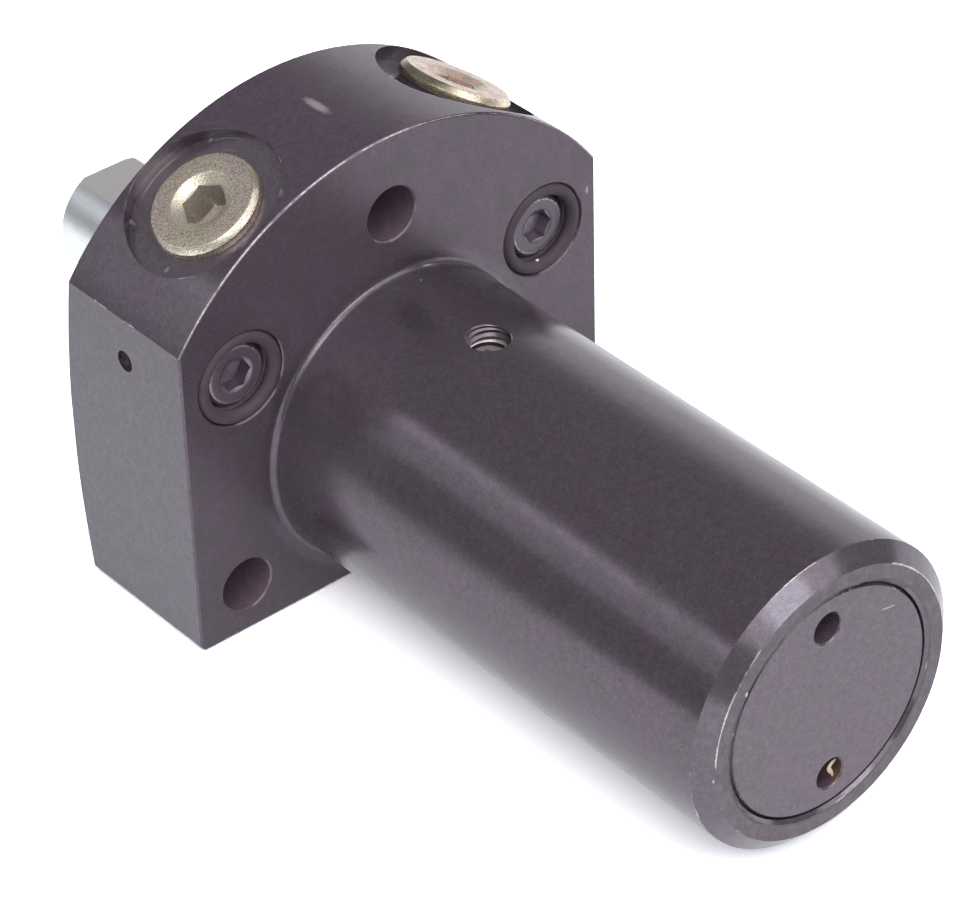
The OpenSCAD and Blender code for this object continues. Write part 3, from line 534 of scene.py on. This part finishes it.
hard_chrome, tree, skin = new_finish("hard_chrome")
at = use(tree, lathe_place)
on_flat = times(tree, fade(tree, at["Radius"], rod_r - 0.03, rod_r - 0.08),
                fade(tree, at["Y"], wrench_from - 0.2, wrench_from))
drawn_out = gather(tree, at["X"], times(tree, at["Y"], 0.12), at["Z"])
scuff = grain(tree, drawn_out, 1.6, 4.0, 0.7)
chrome = mingle(tree, fade(tree, scuff, 0.45, 0.75), (0.95, 0.96, 0.98), (0.84, 0.84, 0.87))
tree.links.new(mingle(tree, on_flat, chrome, (0.86, 0.83, 0.81)), skin["Base Color"])
skin["Metallic"].default_value = 1.0
tree.links.new(fade(tree, on_flat, 0.0, 1.0, 0.33, 0.5), skin["Roughness"])
emboss(tree, skin, total(tree, use(tree, turning_marks, Lines=5.0)["Height"],
                         times(tree, scuff, 0.6)), 0.002)
dress("plunger", hard_chrome)
bare_thread = plain_finish("bare_thread", (0.46, 0.44, 0.43), (0.34, 0.32, 0.32),
                           0.95, 0.34, 0.006)
closed_mesh("tip_thread",
            screw_ridge((0, 0, 0), along_lathe, (1, 0, 0), tip_thread_r, tip_crest_r,
                        m12_pitch, tip_thread_from, tip_thread_end, steps=24),
            "plunger_set", bare_thread)


# Piston. It slides on two fabric guide rings, and a sliding ring over an o-ring seals
# it. The nut on the rod's stud holds it, and a small set screw locks the nut.
piston_steel = plain_finish("piston_steel", (0.50, 0.50, 0.52), (0.42, 0.42, 0.44),
                            0.95, 0.3, 0.006, lines=3.0)
slide_plastic = plain_finish("slide_plastic", (0.20, 0.32, 0.29), (0.24, 0.36, 0.33),
                             0.0, 0.45, 0.003)
nut_steel = plain_finish("nut_steel", (0.11, 0.10, 0.11), (0.08, 0.08, 0.08), 0.8, 0.36, 0.006)
for node, finish in (("piston", piston_steel), ("piston_slide_ring", slide_plastic),
                     ("piston_spring_ring", seal_rubber), ("front_piston_guide_ring", guide_fabric),
                     ("back_piston_guide_ring", guide_fabric), ("neck_o_ring", seal_rubber),
                     ("piston_nut", nut_steel), ("nut_lock_screw", nut_steel)):
    dress(node, finish)


# End cap. It is faced on the lathe, drilled for a pin spanner, blackened and screwed
# in flush with the barrel's rim. A chip and rust dust have stayed in its lower hole.
cap_face, cap_r, spanner_hole_r = -114.5, 22.95, 3.0
lower_hole = (0.86, -16.48)

blackened_cap, tree, skin = new_finish("blackened_cap")
at = use(tree, lathe_place)
cloud = use(tree, black_bloom, Clouds=0.18)
rim = off_ring(tree, at["Place"], (0, cap_face, 0), along_lathe, cap_r - 0.4)
scratch_arm = reckon(tree, "SUBTRACT", at["Place"], (13.5, cap_face, 13.35))
scratch_along, scratch_off = (
    calc(tree, "ABSOLUTE", reckon(tree, "DOT_PRODUCT", scratch_arm, way))
    for way in ((0.983, 0.0, -0.185), (0.185, 0.0, 0.983)))
scratch = times(tree, fade(tree, scratch_off, 0.2, 0.06), fade(tree, scratch_along, 1.9, 1.2))
mark = most(tree, use(tree, worn_edge, Distance=rim, Reach=0.3, Share=0.4)["Mask"],
            times(tree, scratch, 0.7))
from_low, from_high = (
    gather(tree, calc(tree, "SUBTRACT", at["X"], way * lower_hole[0]),
           calc(tree, "SUBTRACT", at["Z"], way * lower_hole[1])) for way in (1, -1))
low_hole, high_hole = (reckon(tree, "LENGTH", arm) for arm in (from_low, from_high))
in_holes = fade(tree, least(tree, low_hole, high_hole), spanner_hole_r + 0.2, spanner_hole_r + 0.05)
rusty_side = fade(tree, reckon(tree, "DOT_PRODUCT", from_low, (0.8, 0.5, 0.0)), -1.2, 0.8)
rust = times(tree, fade(tree, low_hole, spanner_hole_r + 0.3, spanner_hole_r), rusty_side,
             fade(tree, cloud["Speck"], 0.3, 0.5))
thread_line = fade(tree, at["Radius"], cap_r - 0.8, cap_r - 0.4, 0.0, 0.8)
black = mingle(tree, cloud["Bloom"], (0.164, 0.128, 0.162), (0.156, 0.138, 0.152))
black = mingle(tree, in_holes, black, (0.115, 0.08, 0.11))
black = mingle(tree, thread_line, black, (0.05, 0.04, 0.05))
black = reckon(tree, "SCALE", black, scale=cloud["Shade"])
colour = mingle(tree, mark, black, (0.50, 0.56, 0.45))
tree.links.new(mingle(tree, rust, colour, (0.20, 0.115, 0.075)), skin["Base Color"])
tree.links.new(fade(tree, in_holes, 0.0, 1.0, 0.68, 0.1), skin["Metallic"])
tree.links.new(fade(tree, cloud["Bloom"], 0.0, 1.0, 0.20, 0.26), skin["Roughness"])
emboss(tree, skin, total(tree, use(tree, turning_marks, Lines=1.6)["Height"],
                         times(tree, cloud["Speck"], 0.4)), 0.006)
dress("end_cap", blackened_cap)
dress("cap_o_ring", seal_rubber)
dress("cap_backup_ring", white_backup)


def curled_chip(name, knots, width, thickness, body, material):
    """A thin ribbon through the knots: an upright oval section carried along a smooth line,
    which narrows to a point at both ends."""
    knots = np.array(knots, float)
    t = np.linspace(0, len(knots) - 1, 40)
    line = np.stack([np.interp(t, np.arange(len(knots)), knots[:, k]) for k in range(3)], 1)
    for _ in range(12):
        line[1:-1] = (line[:-2] + 2 * line[1:-1] + line[2:]) / 4
    ahead = np.gradient(line, axis=0)
    ahead /= np.linalg.norm(ahead, axis=1, keepdims=True)
    up = np.array([0.0, 1.0, 0.0])
    across = np.cross(ahead, up)
    across /= np.linalg.norm(across, axis=1, keepdims=True)
    turn = np.linspace(0, 2 * np.pi, 12, endpoint=False)
    taper = np.sin(np.linspace(0, np.pi, len(line))) ** 0.4
    points = (line[:, None]
              + (taper[:, None] * width / 2 * np.cos(turn))[..., None] * across[:, None]
              + (taper[:, None] * thickness / 2 * np.sin(turn))[..., None] * up)
    return closed_mesh(name, points, body, material)


# The chip's line: X, depth under the cap's face, Z
chip_line = ((2.84, 0.7, -14.75), (1.77, 0.6, -14.91), (0.95, 0.6, -15.64),
             (1.3, 0.6, -16.4), (1.9, 0.7, -17.2), (2.35, 0.8, -18.4))
chip_w, chip_t = 0.95, 0.4
chip_steel = plain_finish("chip_steel", (0.74, 0.62, 0.52), (0.60, 0.48, 0.38),
                          0.2, 0.5, 0.01, clouds=2.0)
curled_chip("spanner_hole_chip", [(x, cap_face + deep, z) for x, deep, z in chip_line],
            chip_w, chip_t, "cylinder", chip_steel)


# Port plugs. Each pipe port is closed by a G 3/8 plug with a collar and an 8 mm hexagon
# socket. It is zinc plated and yellow passivated, dull and tinged with rust, and clamps a
# rubber ring on its milled spot. The left plug sits 1.1 mm deeper.
ANGLES = np.linspace(0, 2 * np.pi, 120, endpoint=False)


def hexagon(half):
    """Distance from the centre to the side of a hexagon whose corner lies at angle 0."""
    return half / np.cos(ANGLES % (np.pi / 3) - np.pi / 6)


def rounded(profile, leg=0.12):
    """A profile of (radius, height) points with each inner corner replaced by a small arc of
    three points."""
    p = np.array(profile, float)
    back, ahead = p[:-2] - p[1:-1], p[2:] - p[1:-1]
    back_len = np.linalg.norm(back, axis=1, keepdims=True)
    ahead_len = np.linalg.norm(ahead, axis=1, keepdims=True)
    first = p[1:-1] + back / back_len * np.minimum(leg, back_len * 0.45)
    last = p[1:-1] + ahead / ahead_len * np.minimum(leg, ahead_len * 0.45)
    middle = (first + last + 2 * p[1:-1]) / 4
    inner = np.stack([first, middle, last], 1).reshape(-1, 2)
    return np.vstack([p[:1], inner, p[-1:]])


def round_rows(profile):
    """Rows of a turned surface: radius and height for every angle."""
    p = np.array(profile, float)
    ones = np.ones_like(ANGLES)
    return p[:, :1] * ones, p[:, 1:] * ones


def thread_rows(radius, depth, pitch, start, end):
    """Rows of an outside thread: the radius falls by a triangle wave of height / pitch + angle."""
    height = np.linspace(start, end, int(abs(end - start) / pitch * 8))[:, None] + 0 * ANGLES
    wave = np.abs(((height / pitch + ANGLES / (2 * np.pi)) % 1.0) * 2 - 1)
    from_ends = np.minimum(np.abs(height - start), np.abs(end - height))
    return radius - depth * wave * np.clip(from_ends / (0.6 * pitch), 0, 1), height


def socket_rows(half, mouth_r, top, mouth_depth, floor, centre_drop):
    """Rows of a hexagon socket below a round countersink: the countersink's foot follows the
    hexagon, so it lies deepest at the middle of each side."""
    hexa = hexagon(half)
    level = np.ones_like(ANGLES)
    foot = top - mouth_depth * (mouth_r - hexa) / (mouth_r - half)
    radius = np.stack([hexa, hexa, hexa * 0.985, hexa * 0.5, hexa * 0.0])
    height = np.stack([foot, foot - 0.15, level * floor, level * (floor - centre_drop / 2),
                       level * (floor - centre_drop)])
    return radius, height


def fitted(blocks, centre, side, third, outward):
    """Stacks blocks of rows and puts them in their place: height runs along outward."""
    radius = np.vstack([b[0] for b in blocks])
    height = np.vstack([b[1] for b in blocks])
    return (np.array(centre, float) + (radius * np.cos(ANGLES))[..., None] * np.array(side, float)
            + (radius * np.sin(ANGLES))[..., None] * np.array(third, float)
            + height[..., None] * np.array(outward, float))


def zinc_finish(name, side, rust_share):
    """Grainy yellow zinc: gold and grey clouds, white specks painted as glints, pink rust,
    bright rubbed rims and a darker socket. The right plug is browner, with a dark stretch of
    painted shade and a pale stretch of painted reflection on its collar's edge. The left
    one's rim is painted darker on one side and brighter on the other, and its dish has a
    painted highlight."""
    material, tree, skin = new_finish(name)
    mm = use(tree, lathe_place)["Place"]
    axis = (float(side * np.sin(port_angle)), 0.0, float(np.cos(port_angle)))
    arm = reckon(tree, "SUBTRACT", mm, (0, port_from_seat, 0))
    off = off_axis(tree, arm, axis)[1]
    along_rim = reckon(tree, "DOT_PRODUCT", arm, (axis[2], 0.0, -axis[0]))
    clouds = grain(tree, mm, 0.22, 4.0, 0.6)
    sand = grain(tree, mm, 2.9, 3.0, 0.7)
    blotch = grain(tree, mm, 0.35, 5.0, 0.7)
    rust = times(tree, fade(tree, blotch, 1.0 - rust_share, 1.12 - rust_share),
                 fade(tree, off, 10.9, 8.0, 0.35, 1.0))
    rim = fade(tree, calc(tree, "ABSOLUTE", calc(tree, "SUBTRACT", off, 10.5)), 0.75, 0.3)
    if side > 0:
        gold, inside = (1.0, 0.89, 0.66), (0.46, 0.30, 0.24)
        # Painted shade on a dark stretch of the collar's edge, and a painted reflection on a pale
        # one
        edge = fade(tree, off, 9.9, 10.1)
        painted_light_patches = ((times(tree, edge, fade(tree, along_rim, -6.0, -9.0)), (0.30, 0.26, 0.19)),
                   (times(tree, edge, fade(tree, along_rim, 4.0, 8.0)), (0.55, 0.45, 0.36)))
    else:
        # Painted light and shade: the rim's gold is darker on one side and brighter on the other
        gold = mingle(tree, fade(tree, along_rim, 3.0, -5.0),
                      (0.64, 0.57, 0.45), (0.98, 0.92, 0.74))
        inside = (0.34, 0.31, 0.28)
        # Painted highlight on the dish
        dish_painted_highlight = times(tree, fade(tree, off, 6.5, 6.2), fade(tree, off, 4.0, 4.3))
        painted_light_patches = ((times(tree, dish_painted_highlight, 0.5), (0.86, 0.83, 0.66)),)
    zinc = mingle(tree, fade(tree, clouds, 0.35, 0.65), (0.86, 0.71, 0.65), (0.89, 0.78, 0.60))
    for mask, tone in (
            (fade(tree, sand, 0.48, 0.62, 0.0, 0.85), (0.34, 0.27, 0.23)),
            # white specks of the grain, painted as glints
            (fade(tree, sand, 0.44, 0.34), (1.0, 0.98, 0.92)),
            (times(tree, rust, 0.7), (0.62, 0.38, 0.29)),
            (times(tree, rim, fade(tree, sand, 0.7, 0.4)), gold),
            *painted_light_patches,
            (times(tree, fade(tree, off, 4.7, 4.1), 0.8), inside)):
        zinc = mingle(tree, mask, zinc, tone)
    tree.links.new(zinc, skin["Base Color"])
    tree.links.new(least(tree, fade(tree, rust, 0.0, 1.0, 0.88, 0.45),
                         fade(tree, off, 4.1, 4.7, 0.45, 1.0)), skin["Metallic"])
    tree.links.new(calc(tree, "SUBTRACT", fade(tree, sand, 0.3, 0.7, 0.20, 0.36),
                        times(tree, rim, 0.06)), skin["Roughness"])
    relief = total(tree, sand, times(tree, blotch, 0.5))
    emboss(tree, skin, times(tree, relief, fade(tree, rim, 0.0, 1.0, 1.0, 0.45)), 0.09)
    return material


collar_r, collar_h, collar_bevel_w, collar_bevel_h = 11.0, 2.5, 0.85, 1.1
plug_thread_r, plug_neck_r, pipe_thread_depth, pipe_pitch = 8.3, 7.5, 0.8, 1.337
plug_key_half, plug_mouth_r, plug_key_depth = 4.0, 6.3, 7.5
for name, side, lift, rust_share in (("left_port_plug", -1, 0.0, 0.42),
                                     ("right_port_plug", 1, 1.1, 0.56)):
    lower = rounded([(0.0, -11.0), (plug_thread_r - 1.0, -11.0), (plug_thread_r, -10.0)])
    collar = rounded([(plug_neck_r, -1.5), (plug_neck_r, 1.0), (10.4, 1.0), (10.4, 0.0),
                      (collar_r, 0.0), (collar_r, collar_h - collar_bevel_h),
                      (collar_r - collar_bevel_w, collar_h), (plug_mouth_r, collar_h),
                      (5.6, collar_h - 0.4)])
    outward = np.array([side * np.sin(port_angle), 0.0, np.cos(port_angle)])
    closed_mesh(name + "_zinc", fitted(
        [round_rows(lower),
         thread_rows(plug_thread_r, pipe_thread_depth, pipe_pitch, -10.0, -1.6),
         round_rows(collar),
         socket_rows(plug_key_half, plug_mouth_r, collar_h, 1.3, collar_h - plug_key_depth, 0.8)],
        np.array([0, port_from_seat, 0]) + (spot_floor + lift) * outward,
        (np.cos(port_angle), 0, -side * np.sin(port_angle)), along_lathe, outward),
        "cylinder", zinc_finish(name + "_finish", side, rust_share))
    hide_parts(name)
dress("left_plug_seal", seal_rubber)
dress("right_plug_seal", seal_rubber)


# Manifold ports. The two oil ports under the flange are closed by flat-headed M8 screws
# on copper washers. A rubber o-ring lies round each blackened head in its turned seat,
# ready to seal against the fixture.
head_sunk, head_r, shank_r, tip_r, m8_thread_depth = 1.6, 6.5, 4.0, 3.2, 0.6
screw_key_half, screw_mouth_r, screw_key_depth = 3.0, 3.75, 3.0
# The heads are painted in two tones: the left one, in shade, paler and the right one, in the light,
# darker, a painted light and shade. The hexagon sockets are painted pale, a painted fill light.
for name, side, tone, socket_painted_light in (
        ("left_manifold_screw", -1, 0.235, (0.27, 0.21, 0.27)),
        ("right_manifold_screw", 1, 0.145, (0.33, 0.28, 0.34))):
    steel, tree, skin = new_finish(name + "_finish")
    at = use(tree, lathe_place)
    off = reckon(tree, "LENGTH", gather(tree, calc(tree, "SUBTRACT", at["X"], side * manifold_x),
                                        calc(tree, "SUBTRACT", at["Z"], manifold_z)))
    rings = grain(tree, gather(tree, off), 2.2, 3.0, 0.6)
    speck = grain(tree, at["Place"], 1.4, 3.0, 0.7)
    from_edge = calc(tree, "ABSOLUTE", calc(tree, "SUBTRACT", off, 5.9))
    edge = times(tree, fade(tree, from_edge, 0.6, 0.2), fade(tree, speck, 0.36, 0.54), 0.8)
    black = mingle(tree, speck, (tone * 0.95, tone * 0.76, tone * 0.93),
                   (tone * 1.15, tone * 0.98, tone * 1.12))
    black = mingle(tree, edge, black, (0.55, 0.50, 0.52))
    black = mingle(tree, fade(tree, off, 3.6, 3.0), black, socket_painted_light)
    tree.links.new(black, skin["Base Color"])
    skin["Metallic"].default_value = 0.82
    tree.links.new(fade(tree, speck, 0.2, 0.8, 0.30, 0.44), skin["Roughness"])
    emboss(tree, skin, total(tree, rings, times(tree, speck, 0.8)), 0.012)
    shank = rounded([(0.0, -14.0), (tip_r, -14.0), (shank_r, -13.2), (shank_r, -12.6)], 0.1)
    head = rounded([(3.4, -7.2), (3.4, -6.6), (head_r, -6.6), (head_r, -2.35),
                    (head_r - 0.75, -head_sunk), (screw_mouth_r, -head_sunk),
                    (3.5, -head_sunk - 0.12)], 0.14)
    closed_mesh(name + "_black", fitted(
        [round_rows(shank), thread_rows(shank_r, m8_thread_depth, m8_pitch, -12.6, -7.2),
         round_rows(head), socket_rows(screw_key_half, screw_mouth_r, -head_sunk, 0.4,
                                       -head_sunk - screw_key_depth, 0.6)],
        (side * manifold_x, 0, manifold_z), (1, 0, 0), (0, 0, 1), (0, -1, 0)),
        "cylinder", steel)
    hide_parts(name)

# A small white drop at the right port stands in for a glint there: a painted highlight
glint_white = plain_finish("painted_glint_white", (0.90, 0.84, 0.88), (0.84, 0.80, 0.84), 0.0, 0.2, 0.002)
around = ANGLES[::6]
polar = np.linspace(0, np.pi, 9)[:, None] + 0 * around
drop = np.stack([0.42 * np.sin(polar) * np.cos(around), 0.3 * np.cos(polar) + 0 * around,
                 0.36 * np.sin(polar) * np.sin(around)], -1)
closed_mesh("painted_glint_drop", drop + np.array([34.9, 0.75, 17.3]), "cylinder", glint_white)
copper_washer = plain_finish("copper_washer", (0.58, 0.33, 0.20), (0.48, 0.26, 0.16),
                             0.95, 0.34, 0.006)
for side in ("left", "right"):
    dress(side + "_manifold_washer", copper_washer)
dress("left_manifold_o_ring", seal_rubber)
dress("right_manifold_o_ring", seal_rubber)


# Expander plugs. Grooved steel sleeves with a pressed-in ball close the drilled ways
# where the drill came in: one in each side flat and two in the back face.
sleeve_steel = plain_finish("sleeve_steel", (0.20, 0.18, 0.18), (0.28, 0.26, 0.25),
                            0.85, 0.4, 0.008, clouds=1.5)
ball_steel = plain_finish("ball_steel", (0.34, 0.32, 0.32), (0.28, 0.27, 0.27),
                          0.9, 0.28, 0.003, clouds=1.5)
for spot in ("left_gallery", "right_gallery", "left_back", "right_back"):
    dress(spot + "_sleeve", sleeve_steel)
    dress(spot + "_ball", ball_steel)


# Studio. A pale table top in a grey room with a pale wall on the right. A large softbox
# and a small window hang above the camera, a softbox above on the left, a band of light
# with a brighter edge behind on the left, and a small lamp on the right.
table_top, tree, skin = new_finish("table_top")
skin["Roughness"].default_value = 0.9
skin["Specular IOR Level"].default_value = 0.0
seen = tree.nodes.new("ShaderNodeLightPath").outputs

# In reflections the table top is painted darker far from the part, towards the room on the
# left: a painted shade
on_table = tree.nodes.new("ShaderNodeTexCoord").outputs["Object"]
reach = reckon(tree, "DISTANCE", on_table, (0.15, 0.0, -0.032))
way_left = reckon(tree, "DOT_PRODUCT", reckon(tree, "NORMALIZE", on_table), (-0.766, 0.643, 0.0))
way_right = reckon(tree, "DOT_PRODUCT", on_table, (0.842, 0.540, 0.0))
far_left_painted_shade = most(tree,
                times(tree, fade(tree, reach, 0.19, 0.52), fade(tree, way_left, 0.80, 0.93)),
                times(tree, fade(tree, reach, 0.7, 1.2), fade(tree, way_right, 0.4, 0.0)))
lit = calc(tree, "SUBTRACT", 1.0, times(tree, far_left_painted_shade, 0.74, seen["Is Glossy Ray"]))
paper = mingle(tree, seen["Is Camera Ray"], (0.76, 0.77, 0.79), (2.30, 2.30, 2.36))
tree.links.new(mingle(tree, lit, (0.0, 0.0, 0.0), paper), skin["Base Color"])
glow = tree.nodes.new("ShaderNodeEmission")
glow.inputs["Color"].default_value = (0.93, 0.97, 1.0, 1)
mirrored = most(tree, seen["Is Glossy Ray"], seen["Is Transmission Ray"])
tree.links.new(times(tree, mirrored, 0.50, lit), glow.inputs["Strength"])
both = tree.nodes.new("ShaderNodeAddShader")
surface = next(n for n in tree.nodes if n.type == "BSDF_PRINCIPLED").outputs[0]
output = next(n for n in tree.nodes if n.type == "OUTPUT_MATERIAL")
tree.links.new(surface, both.inputs[0])
tree.links.new(glow.outputs[0], both.inputs[1])
tree.links.new(both.outputs[0], output.inputs["Surface"])

table_half, table_gap = 4.0, 0.00002
table_z = cad_box[0][2] - table_gap
spread = np.array([(-1, -1), (1, -1), (1, 1), (-1, 1)]) * table_half
mesh = bpy.data.meshes.new("table")
mesh.from_pydata(np.column_stack([spread, np.full(4, table_z)]), [], [(0, 1, 2, 3)])
table = bpy.data.objects.new("table", mesh)
bpy.context.scene.collection.objects.link(table)
mesh.materials.append(table_top)


def hang_light(name, azimuth, elevation, distance, width, height, radiance, colour=(1, 1, 1)):
    """A softbox that faces the part. The azimuth is in degrees from +Y towards +X."""
    a, e = np.radians(azimuth), np.radians(elevation)
    toward = Vector((np.sin(a) * np.cos(e), np.cos(a) * np.cos(e), np.sin(e)))
    lamp = bpy.data.lights.new(name, "AREA")
    lamp.shape = "RECTANGLE"
    lamp.size, lamp.size_y = width, height
    lamp.energy = radiance * np.pi * width * height
    lamp.color = colour
    box = bpy.data.objects.new(name, lamp)
    box.location = Vector((0, -0.03, 0.02)) + toward * distance
    box.rotation_euler = (-toward).to_track_quat("-Z", "Y").to_euler()
    bpy.context.scene.collection.objects.link(box)


hang_light("softbox_above_camera", -172, 53, 2.0, 4.0, 2.6, 1.32)
hang_light("window_above_camera", 172, 31, 2.0, 0.8, 0.5, 1.95, (0.92, 1.0, 1.05))
hang_light("softbox_above_left", -116, 56, 2.0, 1.3, 1.2, 1.7)
hang_light("band_behind_left", -49, 24, 2.0, 0.8, 0.50, 0.57, (0.92, 1.0, 1.06))
hang_light("bright_edge_of_the_band", -48, 32.5, 2.0, 0.8, 0.16, 1.25, (0.94, 1.0, 1.04))
hang_light("lamp_on_the_right", 107, 33, 2.0, 0.12, 0.12, 14.0)

world = bpy.data.worlds.new("studio")
bpy.context.scene.world = world
world.use_nodes = True
tree = world.node_tree
toward = tree.nodes.new("ShaderNodeTexCoord").outputs["Generated"]
right_wall = times(tree, fade(tree, split(tree, toward)[2], 0.62, -0.05),
                   fade(tree, reckon(tree, "DOT_PRODUCT", toward, (0.842, 0.540, 0.0)), 0.68, 0.93))
level = total(tree, 0.27, times(tree, right_wall, 1.25))
background = next(n for n in tree.nodes if n.type == "BACKGROUND")
tree.links.new(mingle(tree, level, (0, 0, 0), (1.0, 1.0, 1.03)), background.inputs["Color"])
background.inputs["Strength"].default_value = 1.0

# The camera stands at the cap's end, above and to the left, as in the photograph.
camera = bpy.data.cameras.new("camera")
camera.sensor_width = 36.0
camera.lens = 154.84
camera.clip_start = 0.01
camera.clip_end = 50.0
eye = bpy.data.objects.new("camera", camera)
right = Vector((0.76117583, -0.64813588, -0.02304865))
up = Vector((0.39932120, 0.44037008, 0.80412485))
facing = Matrix((right, up, right.cross(up))).transposed().to_4x4()
eye.matrix_world = Matrix.Translation((-0.388064, -0.495769, 0.454761)) @ facing
bpy.context.scene.collection.objects.link(eye)
bpy.context.scene.camera = eye
bpy.context.scene.view_settings.view_transform = "Standard"
